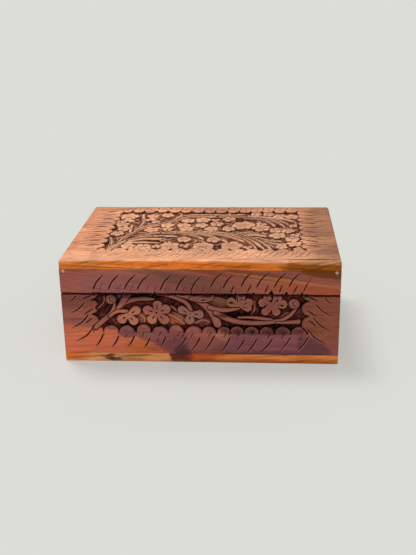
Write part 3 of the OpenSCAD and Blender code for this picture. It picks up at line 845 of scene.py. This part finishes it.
def lid_board(name, pitch, ground, seed):
    """The lid's top board. One grid covers the top and wraps down every side: past the flat part, a point at
    overshoot s lies on a quarter round of radius TOP_ROUND and then on the upright side; at a corner the
    overshoot's direction turns it through 90 degrees. One face closes the underside."""
    thick = TOP_HIGH[2] - TOP_LOW[2]
    quarter = math.pi / 2 * TOP_ROUND
    upright = quarter + (thick - TOP_ROUND) * np.array([0.5, 0.93, 1])
    rings = np.concatenate([quarter * np.arange(1, 7) / 6, upright])
    flat_u = LENGTH / 2 - TOP_ROUND
    flat_v = DEPTH / 2 - TOP_ROUND
    relief = Relief(lid_lines(flat_u, *FINE_U, pitch, rings), lid_lines(flat_v, *FINE_V, pitch, rings),
                    ground, seed)
    carve_lid(relief)
    u, v = relief.u, relief.v
    near_u = np.clip(u, -flat_u, flat_u)
    near_v = np.clip(v, -flat_v, flat_v)
    past_u = u - near_u
    past_v = v - near_v
    over = np.maximum(np.abs(past_u), np.abs(past_v))
    reach = np.hypot(past_u, past_v)
    reach[reach == 0] = 1
    swing = np.minimum(over / TOP_ROUND, math.pi / 2)
    fall = TOP_ROUND * (1 - np.cos(swing)) + np.clip(over - quarter, 0, None)
    hem = np.clip((fall - (thick - HEM)) / HEM, 0, 1)
    out = TOP_ROUND * np.sin(swing) - HEM_IN * hem
    top = over == 0
    z = TOP_HIGH[2] - fall - relief.depth * top - 0.05 * lattice_noise(u, v, 17, 5) * smooth(1 - over)
    points = np.stack([near_u + out * past_u / reach, near_v + out * past_v / reach,
                       np.maximum(z, TOP_LOW[2])], axis=-1)
    k = np.arange(u.size).reshape(u.shape)
    faces = grid_faces(*u.shape)
    smooth_count = len(faces)
    faces.append(k[0, :-1].tolist() + k[:-1, -1].tolist() + k[-1, :0:-1].tolist() + k[:0:-1, 0].tolist())
    # the first mark holds stain and painted shade, the second rubbed crests with a painted highlight
    marks = {"stain": relief.stain * top, "worn": relief.worn() * top}
    return put_mesh(name, points.reshape(-1, 3), faces, smooth_count, marks)


# ---------------------------------------------------------------- shader node groups


def paint(hexa):
    """Linear colour with alpha 1 from a hex code in sRGB."""
    channels = [int(hexa[i:i + 2], 16) / 255 for i in (1, 3, 5)]
    return tuple(c / 12.92 if c <= 0.04045 else ((c + 0.055) / 1.055) ** 2.4 for c in channels) + (1,)


class Nodes:
    """Short ways to place and join shader nodes in one tree."""

    def __init__(self, tree):
        self.tree = tree

    def add(self, kind, **values):
        """A node of that kind. A name that starts with set_ is the node's own setting; the others are
        sockets, by name or as i and a number, to be set or linked."""
        node = self.tree.nodes.new(kind)
        for key, value in values.items():
            if key.startswith("set_"):
                setattr(node, key[4:], value)
        for key, value in values.items():
            if not key.startswith("set_"):
                label = key.replace("_", " ")
                self.feed(node.inputs[label if label in node.inputs else int(key[1:])], value)
        return node

    def feed(self, socket, value):
        """Links a socket, or sets it to a plain value."""
        if isinstance(value, bpy.types.NodeSocket):
            self.tree.links.new(value, socket)
        else:
            socket.default_value = value

    def math(self, operation, a, b=0, clamp=False):
        return self.add("ShaderNodeMath", set_operation=operation, set_use_clamp=clamp, i0=a, i1=b).outputs[0]

    def times(self, a, b, clamp=False):
        return self.math("MULTIPLY", a, b, clamp)

    def vector(self, operation, a, b=(0, 0, 0)):
        return self.add("ShaderNodeVectorMath", set_operation=operation, i0=a, i1=b).outputs

    def stretch(self, vector, share):
        """A vector whose X counts for only a share, which draws a noise out along the grain."""
        return self.vector("MULTIPLY", vector, (share, 1, 1))[0]

    def mix(self, share, a, b, blend="MIX"):
        node = self.add("ShaderNodeMix", set_data_type="RGBA", set_blend_type=blend, i0=share, i6=a, i7=b)
        return node.outputs[2]

    def ramp(self, value, low, high, to_low=0, to_high=1):
        return self.add("ShaderNodeMapRange", set_interpolation_type="SMOOTHSTEP", set_clamp=True, i0=value,
                        i1=low, i2=high, i3=to_low, i4=to_high).outputs[0]

    def noise(self, vector, scale, detail=3, rough=0.5, distortion=0):
        return self.add("ShaderNodeTexNoise", Vector=vector, Scale=scale, Detail=detail, Roughness=rough,
                        Distortion=distortion).outputs[0]


def new_group(name, inputs, outputs):
    """An empty shader group with sockets by kind: its Nodes, what it gets and what it puts out."""
    group = bpy.data.node_groups.new(name, "ShaderNodeTree")
    for way, sockets in (("INPUT", inputs), ("OUTPUT", outputs)):
        for kind, labels in sockets.items():
            for label in labels:
                group.interface.new_socket(label, in_out=way, socket_type="NodeSocket" + kind)
    n = Nodes(group)
    return n, n.add("NodeGroupInput").outputs, n.add("NodeGroupOutput").inputs


def timber_group():
    """Grain of a sawn board, for fibres along X: broad figure, thin growth lines, fibres and open pores."""
    n, get, out = new_group(
        "Timber grain",
        {"Vector": ["Vector"], "Color": ["Pale", "Dark"], "Float": ["Figure", "Contrast", "Lines"]},
        {"Color": ["Color"], "Float": ["Shade", "Height", "Roughness"]})
    pore_brown = paint("#2a130d")
    long, lane, fine, dash = [n.stretch(get["Vector"], share) for share in (0.16, 0.032, 0.02, 0.07)]
    broad = n.noise(long, get["Figure"], 4, 0.55, 0.8)
    lines = n.noise(lane, n.times(get["Figure"], 7), 3, 0.6, 0.4)
    fibre = n.noise(fine, 2600, 2, 0.6)
    pores = n.ramp(n.noise(dash, 1500, 1, 0.5), 0.6, 0.72)
    share = n.times(n.ramp(broad, 0.3, 0.7), get["Contrast"], clamp=True)
    line = n.times(n.ramp(lines, 0.48, 0.66), get["Lines"], clamp=True)
    streak = n.ramp(fibre, 0.3, 0.75, 1.14, 0.82)
    colour = n.mix(share, get["Pale"], get["Dark"])
    colour = n.mix(line, colour, n.mix(0.45, get["Dark"], pore_brown))
    tint = n.add("ShaderNodeCombineColor", i0=streak, i1=streak, i2=streak).outputs[0]
    colour = n.mix(1, colour, tint, "MULTIPLY")
    n.feed(out["Color"], n.mix(n.times(pores, 0.34), colour, pore_brown))
    shade = n.times(n.ramp(share, 0, 1, 1.1, 0.78), n.ramp(line, 0, 1, 1, 0.5))
    n.feed(out["Shade"], n.times(n.times(shade, streak), n.ramp(pores, 0, 1, 1, 0.72)))
    n.feed(out["Height"], n.math("SUBTRACT", n.times(fibre, 0.6), n.times(pores, 0.8)))
    n.feed(out["Roughness"], n.ramp(broad, 0.2, 0.8, 0.4, 0.54))
    return n.tree


def patch_group():
    """Mask of an uneven patch: 1 inside an ellipsoid whose edge wanders with a noise, 0 outside."""
    n, get, out = new_group(
        "Timber patch",
        {"Vector": ["Vector", "Centre", "Size"], "Float": ["Turn", "Wander", "Softness"]},
        {"Float": ["Mask"]})
    off = n.vector("SUBTRACT", get["Vector"], get["Centre"])[0]
    spun = n.add("ShaderNodeVectorRotate", set_rotation_type="Y_AXIS", Vector=off, Angle=get["Turn"])
    radius = n.vector("LENGTH", n.vector("DIVIDE", spun.outputs[0], get["Size"])[0])["Value"]
    stretched = n.stretch(get["Vector"], 0.3)
    slow = n.math("SUBTRACT", n.noise(stretched, 170), 0.5)
    quick = n.math("SUBTRACT", n.noise(stretched, 800, 3, 0.6), 0.5)
    shake = n.times(n.math("ADD", slow, n.times(quick, 0.8)), get["Wander"])
    edges = [n.math(operation, 1, get["Softness"]) for operation in ("SUBTRACT", "ADD")]
    n.feed(out["Mask"], n.ramp(n.math("ADD", radius, shake), *edges, 1, 0))
    return n.tree


def carved_group():
    """What carving does to timber: a warm dark stain with painted shade that turns nearly black in the cuts,
    and paler crests, rubbed and with a painted highlight.
    """
    n, get, out = new_group(
        "Carved surface",
        {"Color": ["Color", "Warm", "Cut", "Crest"], "Float": ["Roughness", "Stain", "Worn", "Wear"],
         "Vector": ["Vector"]},
        {"Color": ["Color"], "Float": ["Roughness"]})
    spots = n.ramp(n.noise(get["Vector"], 520, 3, 0.65), 0.3, 0.75, 0.7, 1.12)
    stain = n.times(get["Stain"], spots, clamp=True)
    # the stain and the painted shade warm the wood, then turn it to the near-black cut colour
    warm = n.mix(1, get["Color"], get["Warm"], "MULTIPLY")
    colour = n.mix(n.ramp(stain, 0, 0.55), get["Color"], warm)
    colour = n.mix(n.ramp(stain, 0.42, 0.87), colour, get["Cut"])
    # crests turn pale: rubbed wood with a painted highlight
    rub_and_highlight = n.times(n.ramp(n.noise(get["Vector"], 90, 2), 0.25, 0.65, 0.45, 1), get["Wear"])
    n.feed(out["Color"], n.mix(n.times(get["Worn"], rub_and_highlight, clamp=True), colour, get["Crest"]))
    n.feed(out["Roughness"], n.math("ADD", get["Roughness"], n.times(stain, 0.35)))
    return n.tree


def tarnish_group():
    """Metal that has been handled: blotches of duller, browner surface."""
    n, get, out = new_group(
        "Tarnish", {"Vector": ["Vector"], "Color": ["Bright", "Dull"], "Float": ["Scale"]},
        {"Color": ["Color"], "Float": ["Roughness", "Height"]})
    blotch = n.ramp(n.noise(get["Vector"], get["Scale"], 4, 0.6), 0.35, 0.7)
    n.feed(out["Color"], n.mix(blotch, get["Bright"], get["Dull"]))
    n.feed(out["Roughness"], n.ramp(blotch, 0, 1, 0.28, 0.55))
    n.feed(out["Height"], n.noise(n.stretch(get["Vector"], 0.05), 9000, 1))
    return n.tree


GROUP_MAKERS = {"Timber grain": timber_group, "Timber patch": patch_group, "Carved surface": carved_group,
                "Tarnish": tarnish_group}
GROUPS = {}


# ---------------------------------------------------------------- materials


def empty_material(name):
    material = bpy.data.materials.new(name)
    material.use_nodes = True
    tree = material.node_tree
    tree.nodes.clear()
    n = Nodes(tree)
    shader = n.add("ShaderNodeBsdfPrincipled")
    n.add("ShaderNodeOutputMaterial", Surface=shader.outputs[0])
    return material, n, shader


def use_group(n, name, **values):
    """Places the shared group of that name, built at its first use, with values for its inputs."""
    if name not in GROUPS:
        GROUPS[name] = GROUP_MAKERS[name]()
    return n.add("ShaderNodeGroup", set_node_tree=GROUPS[name], **values).outputs


POLISH = 0.22             # how much of the wax shows on the uncut face
GRAIN_RELIEF = 0.00012    # height of the grain and of the metal's scratches, in metres
SCRATCH_RELIEF = 0.00003


# cut is the colour of the deepest stain and painted shade, crest that of rubbed crests with a painted
# highlight
def timber(name, colours, patches=(), lean=(0, 0, 0), figure=60, contrast=1, lines=0.5, cut="#090203",
           crest="#c07c68", warm="#825050", wear=0.5, shift=(0, 0, 0), carved=True):
    """A wood finish from its pale and dark colours. The grain runs along X, leaned by angles in degrees.
    Patches of another tone are (colour, centre in mm, size in mm, turn in degrees, wander, softness,
    strength)."""
    material, n, shader = empty_material(name)
    place = n.add("ShaderNodeTexCoord").outputs["Object"]
    angles = tuple(math.radians(a) for a in lean)
    moved = n.add("ShaderNodeMapping", Vector=place, Location=shift, Rotation=angles).outputs[0]
    pale, dark = (tuple(colour) for colour in colours)
    grain = use_group(n, "Timber grain", Vector=moved, Pale=pale, Dark=dark, Figure=figure, Contrast=contrast,
                      Lines=lines)
    colour, rough = grain["Color"], grain["Roughness"]
    for tint, centre, size, tilt, wander, softness, strength in patches:
        mask = use_group(n, "Timber patch", Vector=place, Centre=tuple(MM * c for c in centre),
                         Size=tuple(MM * s for s in size), Turn=math.radians(tilt), Wander=wander,
                         Softness=softness)["Mask"]
        toned = n.mix(1, paint(tint), grain["Shade"], "MULTIPLY")
        colour = n.mix(n.times(mask, strength), colour, toned)
    shader.inputs["Coat Weight"].default_value = POLISH
    if carved:
        # the first mark holds the carving's stain and its painted shade, the second rubbed crests with a
        # painted highlight
        stain_and_shade_mark, wear_highlight_mark = (n.add("ShaderNodeAttribute", set_attribute_name=mark).outputs["Fac"]
                                 for mark in ("stain", "worn"))
        surface = use_group(n, "Carved surface", Color=colour, Roughness=rough, Vector=place,
                            Stain=stain_and_shade_mark, Worn=wear_highlight_mark, Warm=paint(warm), Cut=paint(cut),
                            Crest=paint(crest), Wear=wear)
        colour, rough = surface["Color"], surface["Roughness"]
        # the wax coat is left off where the stain and the painted shade lie
        face = n.math("SUBTRACT", 1, stain_and_shade_mark, clamp=True)
        n.feed(shader.inputs["Coat Weight"], n.times(face, POLISH))
    n.feed(shader.inputs["Base Color"], colour)
    n.feed(shader.inputs["Roughness"], rough)
    shader.inputs["Specular IOR Level"].default_value = 0.03
    shader.inputs["Coat Roughness"].default_value = 0.45
    grain_relief = n.add("ShaderNodeBump", Height=grain["Height"], Strength=0.35, Distance=GRAIN_RELIEF)
    n.feed(shader.inputs["Normal"], grain_relief.outputs[0])
    return material


def metal(name, bright, dull, scale):
    """A handled metal, with its blotches' scale."""
    material, n, shader = empty_material(name)
    place = n.add("ShaderNodeTexCoord").outputs["Object"]
    worn = use_group(n, "Tarnish", Vector=place, Bright=tuple(bright), Dull=paint(dull), Scale=scale)
    n.feed(shader.inputs["Base Color"], worn["Color"])
    n.feed(shader.inputs["Roughness"], worn["Roughness"])
    shader.inputs["Metallic"].default_value = 1
    scratches = n.add("ShaderNodeBump", Height=worn["Height"], Strength=0.2, Distance=SCRATCH_RELIEF)
    n.feed(shader.inputs["Normal"], scratches.outputs[0])
    return material


def dress(piece, material):
    """Gives a piece one material in every slot it has."""
    if not piece.data.materials:
        piece.data.materials.append(material)
    for i in range(len(piece.data.materials)):
        piece.data.materials[i] = material


def seat(piece, body, node):
    """Ties a new piece to the body it moves with and hides the node it stands for."""
    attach(piece, body)
    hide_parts(node)


# ---------------------------------------------------------------- settings


def length_setting(name, description, mm):
    return bpy.props.FloatProperty(name=name, description=description, default=mm * MM, unit="LENGTH")


def angle_setting(name, description, degrees):
    return bpy.props.FloatProperty(name=name, description=description, default=math.radians(degrees),
                                   subtype="ANGLE")


def strength_setting(name, description, default):
    return bpy.props.FloatProperty(name=name, description=description, default=default, min=0)


def colour_setting(name, description, hexa):
    return bpy.props.FloatVectorProperty(name=name, description=description, default=paint(hexa), size=4,
                                         min=0, max=1, subtype="COLOR")


class KeepsakeCarving(bpy.types.PropertyGroup):
    """Sizes of the carving."""

    wall_ground: length_setting("Wall ground", "Depth of the ground on the walls below the face", 2.2)
    lid_ground: length_setting("Lid ground", "Depth of the ground on the lid below the face", 2)
    wall_pitch: length_setting("Wall grid", "Spacing of the mesh on carved walls and rails", 0.25)
    lid_pitch: length_setting("Lid grid", "Spacing of the mesh on the lid's carved field", 0.415)


class KeepsakeFinish(bpy.types.PropertyGroup):
    """Colours of the wood and the fittings."""

    lid_pale: colour_setting("Lid, pale", "Pale grain of the lid's top board", "#f7a67c")
    lid_dark: colour_setting("Lid, dark", "Dark grain of the lid's top board", "#bb7450")
    wall_pale: colour_setting("Wall, pale", "Pale grain of the walls and rails", "#ad6151")
    wall_dark: colour_setting("Wall, dark", "Dark grain of the walls and rails", "#7f433b")
    base_pale: colour_setting("Base, pale", "Pale grain of the base board", "#ff9e52")
    base_dark: colour_setting("Base, dark", "Dark grain of the base board", "#e06a2c")
    brass: colour_setting("Brass", "Clean brass of the hinges", "#c9a357")
    steel: colour_setting("Steel", "Clean steel of the nails", "#dcc3b0")


class KeepsakeStage(bpy.types.PropertyGroup):
    """Camera, light and floor."""

    focal: bpy.props.FloatProperty(
        name="Lens", description="Focal length on a 36 mm wide sensor", default=54.03)
    place: bpy.props.FloatVectorProperty(
        name="Camera place", description="Where the camera stands", default=(0.0368, -0.4874, 0.2166),
        subtype="TRANSLATION")
    pitch: angle_setting("Camera pitch", "How far the camera looks down", 20.7)
    yaw: angle_setting("Camera yaw", "How far the camera looks to the right", -4.17)
    roll: angle_setting("Camera roll", "How far the camera leans", -1.04)
    floor: colour_setting("Floor", "Colour of the floor and backdrop", "#dfe0db")
    evenness: bpy.props.FloatProperty(
        name="Floor evenness", description="How much the floor hides its own shadows", default=0.5,
        min=0, max=1, subtype="FACTOR")
    key: strength_setting("Key light", "Strength of the soft sun from above and behind", 1.7)
    fill: strength_setting("Fill light", "Strength of the wide soft sun from the front", 0.55)
    sky: strength_setting("Surrounding light", "Strength of the even light from all round", 0.42)


# ---------------------------------------------------------------- operators

GLOW = 0.96  # brightness of the floor's and the backdrop's own colour


class KEEPSAKE_OT_stage(bpy.types.Operator):
    """Sets up the camera, the lamps, the floor and the colour view"""

    bl_idname = "keepsake.stage"
    bl_label = "Stage"

    def execute(self, context):
        stage = context.scene.keepsake_stage
        self.place_camera(context, stage)
        self.lay_floor(context, stage)
        self.light(context, stage)
        context.scene.view_settings.view_transform = "Standard"
        return {"FINISHED"}

    def place_camera(self, context, stage):
        """The camera's axes from pitch, yaw and roll: forward, then right and up turned by the roll."""
        lens = bpy.data.cameras.new("camera")
        lens.sensor_width = 36
        lens.lens = stage.focal
        lens.clip_start = 0.01
        lens.clip_end = 20
        camera = bpy.data.objects.new("camera", lens)
        context.scene.collection.objects.link(camera)
        context.scene.camera = camera
        forward = np.array([math.sin(stage.yaw) * math.cos(stage.pitch),
                            math.cos(stage.yaw) * math.cos(stage.pitch), -math.sin(stage.pitch)])
        right = np.array([math.cos(stage.yaw), -math.sin(stage.yaw), 0])
        up = np.cross(right, forward)
        c, s = math.cos(stage.roll), math.sin(stage.roll)
        matrix = np.eye(4)
        matrix[:3, :3] = np.column_stack([c * right + s * up, c * up - s * right, -forward])
        matrix[:3, 3] = stage.place
        camera.matrix_world = Matrix(matrix.tolist())

    def lay_floor(self, context, stage):
        """A level sheet that fills the view far back: a grid whose rows lie closer near the box."""
        y = np.concatenate([np.linspace(-1.5, 1, 11), np.geomspace(1.4, 12, 8)])
        x = np.concatenate([np.linspace(-5, -1, 4), np.linspace(-0.75, 0.75, 7), np.linspace(1, 5, 4)])
        points = np.stack(np.broadcast_arrays(x, y[:, None], 0), axis=-1).reshape(-1, 3)
        mesh = bpy.data.meshes.new("floor")
        mesh.from_pydata(points, [], grid_faces(len(y), len(x)))
        floor = bpy.data.objects.new("floor", mesh)
        context.scene.collection.objects.link(floor)
        material, n, shader = empty_material("floor_paper")
        shader.inputs["Base Color"].default_value = stage.floor
        shader.inputs["Roughness"].default_value = 0.9
        shader.inputs["Specular IOR Level"].default_value = 0.1
        glow = n.add("ShaderNodeEmission", Color=stage.floor, Strength=GLOW)
        ray = n.add("ShaderNodeLightPath").outputs
        seen = n.math("ADD", ray["Is Camera Ray"], ray["Is Glossy Ray"], clamp=True)
        seen = n.math("ADD", seen, ray["Is Transmission Ray"], clamp=True)
        both = n.add("ShaderNodeMixShader", i0=n.times(seen, stage.evenness), i1=shader.outputs[0],
                     i2=glow.outputs[0])
        n.feed(n.tree.nodes["Material Output"].inputs["Surface"], both.outputs[0])
        floor.data.materials.append(material)

    def light(self, context, stage):
        """Two soft suns, so that floor and box are lit evenly however far they lie, and an even surround that
        the camera sees in the floor's colour."""
        for name, power, source, softness in [("key", stage.key, (-0.3, 0.3, 1), 22),
                                              ("fill", stage.fill, (0.15, -1, 0.6), 60)]:
            data = bpy.data.lights.new(name, "SUN")
            data.energy = power
            data.angle = math.radians(softness)
            data.color = (1, 0.98, 0.95)
            lamp = bpy.data.objects.new(name, data)
            context.scene.collection.objects.link(lamp)
            lamp.location = source
            lamp.rotation_euler = (-Vector(source)).to_track_quat("-Z", "Y").to_euler()
        world = bpy.data.worlds.new("surround")
        context.scene.world = world
        world.use_nodes = True
        n = Nodes(world.node_tree)
        lit = n.tree.nodes["Background"]
        lit.inputs["Color"].default_value = (0.97, 0.98, 1, 1)
        lit.inputs["Strength"].default_value = stage.sky
        seen = n.add("ShaderNodeBackground", Color=stage.floor, Strength=GLOW)
        ray = n.add("ShaderNodeLightPath").outputs["Is Camera Ray"]
        both = n.add("ShaderNodeMixShader", i0=ray, i1=lit.outputs[0], i2=seen.outputs[0])
        n.feed(n.tree.nodes["World Output"].inputs["Surface"], both.outputs[0])


def on_front(rows):
    """Patches on the front face from (colour, x, z, half-width, half-height, then the rest)."""
    return [(tint, (x, -55, z), (wide, 9, tall), *rest) for tint, x, z, wide, tall, *rest in rows]


class KEEPSAKE_OT_lid_top(bpy.types.Operator):
    """Carves the lid's top board"""

    bl_idname = "keepsake.lid_top"
    bl_label = "Lid top"

    def execute(self, context):
        finish = context.scene.keepsake_finish
        size = context.scene.keepsake_carving
        piece = lid_board("carved_lid_top", size.lid_pitch / MM, size.lid_ground / MM, 11)
        seat(piece, "lid", "lid_top_board")
        tones = [("#ffb98e", (-5, -50, 62.5), (110, 15, 4), 1, 0.5, 0.4, 0.9),
                 ("#ffb184", (-46, 4, 62), (46, 60, 8), 0, 0.5, 0.7, 0.6),
                 ("#a06e4e", (79, 10, 62), (17, 80, 8), 0, 0.5, 0.5, 0.8),
                 ("#ab8566", (10, 58, 62), (90, 9, 4), 0, 0.9, 0.6, 0.65),
                 ("#f4802a", (-15, -56, 58.6), (105, 3.4, 3.9), 0, 0.5, 0.16, 1),
                 ("#b25414", (-22, -56, 57.6), (60, 3, 0.45), -2, 1.2, 0.4, 0.8),
                 ("#ffa44e", (-52, -56, 59.4), (40, 3, 0.6), -3, 1.2, 0.4, 0.8),
                 ("#c4601a", (22, -56, 59.3), (34, 3, 0.4), -3, 1.2, 0.4, 0.8),
                 ("#9c5200", (68, -56, 58.4), (26, 6.5, 3.6), -3, 0.9, 0.2, 1),
                 ("#c98860", (71, -54.6, 62), (17, 5, 1.5), 1, 0.5, 0.25, 0.9),
                 ("#6a3404", (66, -56, 57.5), (20, 6.5, 0.5), -4, 1, 0.4, 0.8),
                 ("#5e3510", (64, -51.6, 62.6), (17, 0.9, 1.2), 0, 0.7, 0.4, 0.95)]
        # cut: near-black of stain and painted shade in the cuts; crest: pale of rubbed crests with a painted
        # highlight
        dress(piece, timber("lid_top_wood", (finish.lid_pale, finish.lid_dark), tones, lean=(0, 11, -7),
                            figure=70, contrast=0.9, lines=0.7, warm="#82706a", cut="#240b03",
                            crest="#ffd2ae", wear=0.9))
        return {"FINISHED"}


class KEEPSAKE_OT_front(bpy.types.Operator):
    """Carves the front wall and the lid's front rail"""

    bl_idname = "keepsake.front"
    bl_label = "Front"

    def execute(self, context):
        finish = context.scene.keepsake_finish
        size = context.scene.keepsake_carving
        pitch, ground = size.wall_pitch / MM, size.wall_ground / MM
        wall = mitred_board("carved_front_wall", 0, FOOT, RIM, carve_front, pitch, ground, 21)
        seat(wall, "box", "front_wall")
        tones = on_front([
            ("#d8704e", -58, 9, 34, 12, -9, 0.45, 0.1, 0.95),
            ("#d06c3e", -30, 8, 14, 5, -16, 0.4, 0.1, 0.95),
            ("#7d4a4e", -41, 18.6, 5.5, 3, 0, 0.7, 0.15, 0.85),
            ("#8a564c", -31, 16.6, 4.5, 2.6, 0, 0.7, 0.15, 0.8),
            ("#8e4e52", -16, 14, 13, 8, -30, 0.5, 0.14, 0.8),
            ("#5c343c", -9.8, 7, 4.4, 5.4, 14, 1, 0.15, 0.9),
            ("#c8785a", -40, 29.5, 9, 7, 0, 0.4, 0.3, 0.85),
            ("#c27c54", -28.6, 26, 4, 4.4, 0, 0.6, 0.45, 0.75),
            ("#b4663e", -13, 26, 6, 5, -30, 0.6, 0.45, 0.75), ("#9a6a5c", -5, 30, 8, 6, 0, 0.4, 0.3, 0.7),
            ("#b4685a", 3, 14, 11, 7, 20, 0.6, 0.3, 0.6), ("#95555e", 38, 12, 28, 10, 0, 0.4, 0.2, 0.85),
            ("#c07a66", 12, 17.5, 5, 3, -30, 0.6, 0.2, 0.8),
            ("#6c4048", 38, 5.5, 28, 2.6, 2, 0.7, 0.3, 0.8),
            ("#6b4046", 65, 9, 11, 6.5, -35, 0.4, 0.16, 0.85),
            ("#a0583e", 74, 30, 14, 16, 0, 0.5, 0.3, 0.85), ("#8a5a38", 11, 38, 6, 4, 0, 0.4, 0.3, 0.7)])
        dress(wall, timber("front_wall_wood", (finish.wall_pale, finish.wall_dark), tones, lean=(0, 2, 0),
                           figure=34, contrast=0.95, lines=0.3, wear=0.75))
        rail = mitred_board("carved_lid_front_rail", 0, LID_RIM, UNDER_TOP, carve_front_rail, pitch, ground,
                            31)
        seat(rail, "lid", "lid_front_rail")
        tones = on_front([
            ("#96585a", -42, 48, 26, 8, 0, 0.5, 0.5, 0.7), ("#b0685a", -40, 55, 22, 3, 0, 0.6, 0.4, 0.6),
            ("#7c5244", -2, 50, 28, 3.2, -12, 0.5, 0.3, 0.6),
            ("#86432a", 24, 54.6, 36, 2.6, -7, 0.6, 0.15, 0.85),
            ("#c07248", 50, 51, 34, 0.9, -8, 0.9, 0.3, 0.65),
            ("#b06a42", 56, 48, 30, 0.6, -8, 0.9, 0.3, 0.8),
            ("#a95232", 62, 45.6, 26, 3, -5, 0.6, 0.25, 0.85),
            ("#763c08", 74, 55.2, 18, 2.9, -5, 0.7, 0.2, 0.95),
            ("#a05a42", 30, 47, 16, 4, 0, 0.6, 0.4, 0.6)])
        dress(rail, timber("front_rail_wood", (finish.wall_pale, finish.wall_dark), tones, lean=(0, -7, 0),
                           figure=46, contrast=0.8, lines=0.3, shift=(0.03, 0, 0.02)))
        return {"FINISHED"}


class KEEPSAKE_OT_ends(bpy.types.Operator):
    """Carves both end walls and the lid's end rails"""

    bl_idname = "keepsake.ends"
    bl_label = "Ends"

    def execute(self, context):
        finish = context.scene.keepsake_finish
        size = context.scene.keepsake_carving
        pitch, ground = size.wall_pitch / MM, size.wall_ground / MM
        tones = [("#8a4a40", (0, -20, 12), (90, 26, 10), 0, 0.6, 0.4, 0.6),
                 ("#bb7048", (0, 30, 50), (90, 40, 4), 0, 0.7, 0.4, 0.6)]
        wood = timber("end_wood", (finish.wall_pale, finish.wall_dark), tones, lean=(0, 0, 90), figure=40,
                      contrast=0.8, lines=0.25, wear=0.7, shift=(0.1, 0.04, 0))
        for side, word, seed in ((1, "right", 41), (3, "left", 51)):
            wall = mitred_board("carved_" + word + "_wall", side, FOOT, RIM, carve_end, pitch, ground, seed,
                                "top")
            seat(wall, "box", word + "_wall")
            rail = mitred_board("carved_lid_" + word + "_rail", side, LID_RIM, UNDER_TOP, carve_end_rail,
                                pitch, ground, seed + 3, "bottom")
            seat(rail, "lid", "lid_" + word + "_rail")
            dress(wall, wood)
            dress(rail, wood)
        return {"FINISHED"}


class KEEPSAKE_OT_plain_boards(bpy.types.Operator):
    """Gives the plain boards their timber"""

    bl_idname = "keepsake.plain_boards"
    bl_label = "Plain boards"

    def execute(self, context):
        finish = context.scene.keepsake_finish
        tones = [("#b5673f", (-30, 55, 30), (40, 9, 9), 6, 0.7, 0.3, 0.7)]
        back = timber("back_wood", (finish.wall_pale, finish.wall_dark), tones, figure=44, contrast=0.9,
                      lines=0.35, carved=False, shift=(0.2, 0, 0.05))
        for node in ("back_wall", "lid_back_rail"):
            dress(frame["nodes"][node], back)
        tones = [("#ffac70", (-41, -55, 3), (27, 12, 9), 4, 0.6, 0.16, 0.9),
                 ("#c08048", (-46, -56, 1.2), (13, 9, 1.2), 3, 1, 0.4, 0.7),
                 ("#b87840", (-36, -56, 4.2), (9, 9, 0.7), 4, 1, 0.4, 0.7),
                 ("#6e3230", (-10.8, -56, 5), (6.8, 9, 6), 12, 1.2, 0.14, 0.98),
                 ("#c9502c", (2, -56, 4), (9, 9, 3), 0, 1, 0.3, 0.7),
                 ("#ad5a1c", (30, -56, 0.4), (60, 9, 1.6), 0, 0.8, 0.5, 0.8),
                 ("#4a2a1c", (-53.4, -56, 3.2), (3.4, 4, 2.4), 0, 3, 0.3, 0.85),
                 ("#4a2a1c", (-49.6, -56, 1.4), (3, 4, 1.2), 0, 3, 0.3, 0.8)]
        base = timber("base_wood", (finish.base_pale, finish.base_dark), tones, lean=(0, 4, 2), figure=70,
                      contrast=0.9, lines=0.7, carved=False)
        dress(frame["nodes"]["base_board"], base)
        return {"FINISHED"}


class KEEPSAKE_OT_fittings(bpy.types.Operator):
    """Finishes the hinges, screws and nails"""

    bl_idname = "keepsake.fittings"
    bl_label = "Fittings"

    def execute(self, context):
        finish = context.scene.keepsake_finish
        brass = metal("hinge_brass", finish.brass, "#8a6a36", 350)
        steel = metal("nail_steel", finish.steel, "#9a7f6c", 900)
        for name, node in frame["nodes"].items():
            if "hinge" in name:
                dress(node, brass)
            elif "nails" in name:
                dress(node, steel)
        return {"FINISHED"}


class KEEPSAKE_PT_panel(bpy.types.Panel):
    """Lists the box's settings and its steps"""

    bl_idname = "KEEPSAKE_PT_panel"
    bl_label = "Keepsake box"
    bl_space_type = "VIEW_3D"
    bl_region_type = "UI"
    bl_category = "Keepsake"

    def draw(self, context):
        for group_name in SETTINGS:
            settings = getattr(context.scene, group_name)
            box = self.layout.box()
            for name in settings.__annotations__:
                box.prop(settings, name)
        for operator in STEPS:
            self.layout.operator(operator.bl_idname)


SETTINGS = {"keepsake_carving": KeepsakeCarving, "keepsake_finish": KeepsakeFinish,
            "keepsake_stage": KeepsakeStage}
STEPS = (KEEPSAKE_OT_stage, KEEPSAKE_OT_lid_top, KEEPSAKE_OT_front, KEEPSAKE_OT_ends,
         KEEPSAKE_OT_plain_boards, KEEPSAKE_OT_fittings)
CLASSES = (*SETTINGS.values(), *STEPS, KEEPSAKE_PT_panel)


def register():
    for cls in CLASSES:
        bpy.utils.register_class(cls)
    for name, group in SETTINGS.items():
        setattr(bpy.types.Scene, name, bpy.props.PointerProperty(type=group))


def unregister():
    for name in SETTINGS:
        delattr(bpy.types.Scene, name)
    for cls in reversed(CLASSES):
        bpy.utils.unregister_class(cls)


def main():
    register()
    bpy.ops.keepsake.stage()
    bpy.ops.keepsake.lid_top()
    bpy.ops.keepsake.front()
    bpy.ops.keepsake.ends()
    bpy.ops.keepsake.plain_boards()
    bpy.ops.keepsake.fittings()


if __name__ == "__main__":
    main()
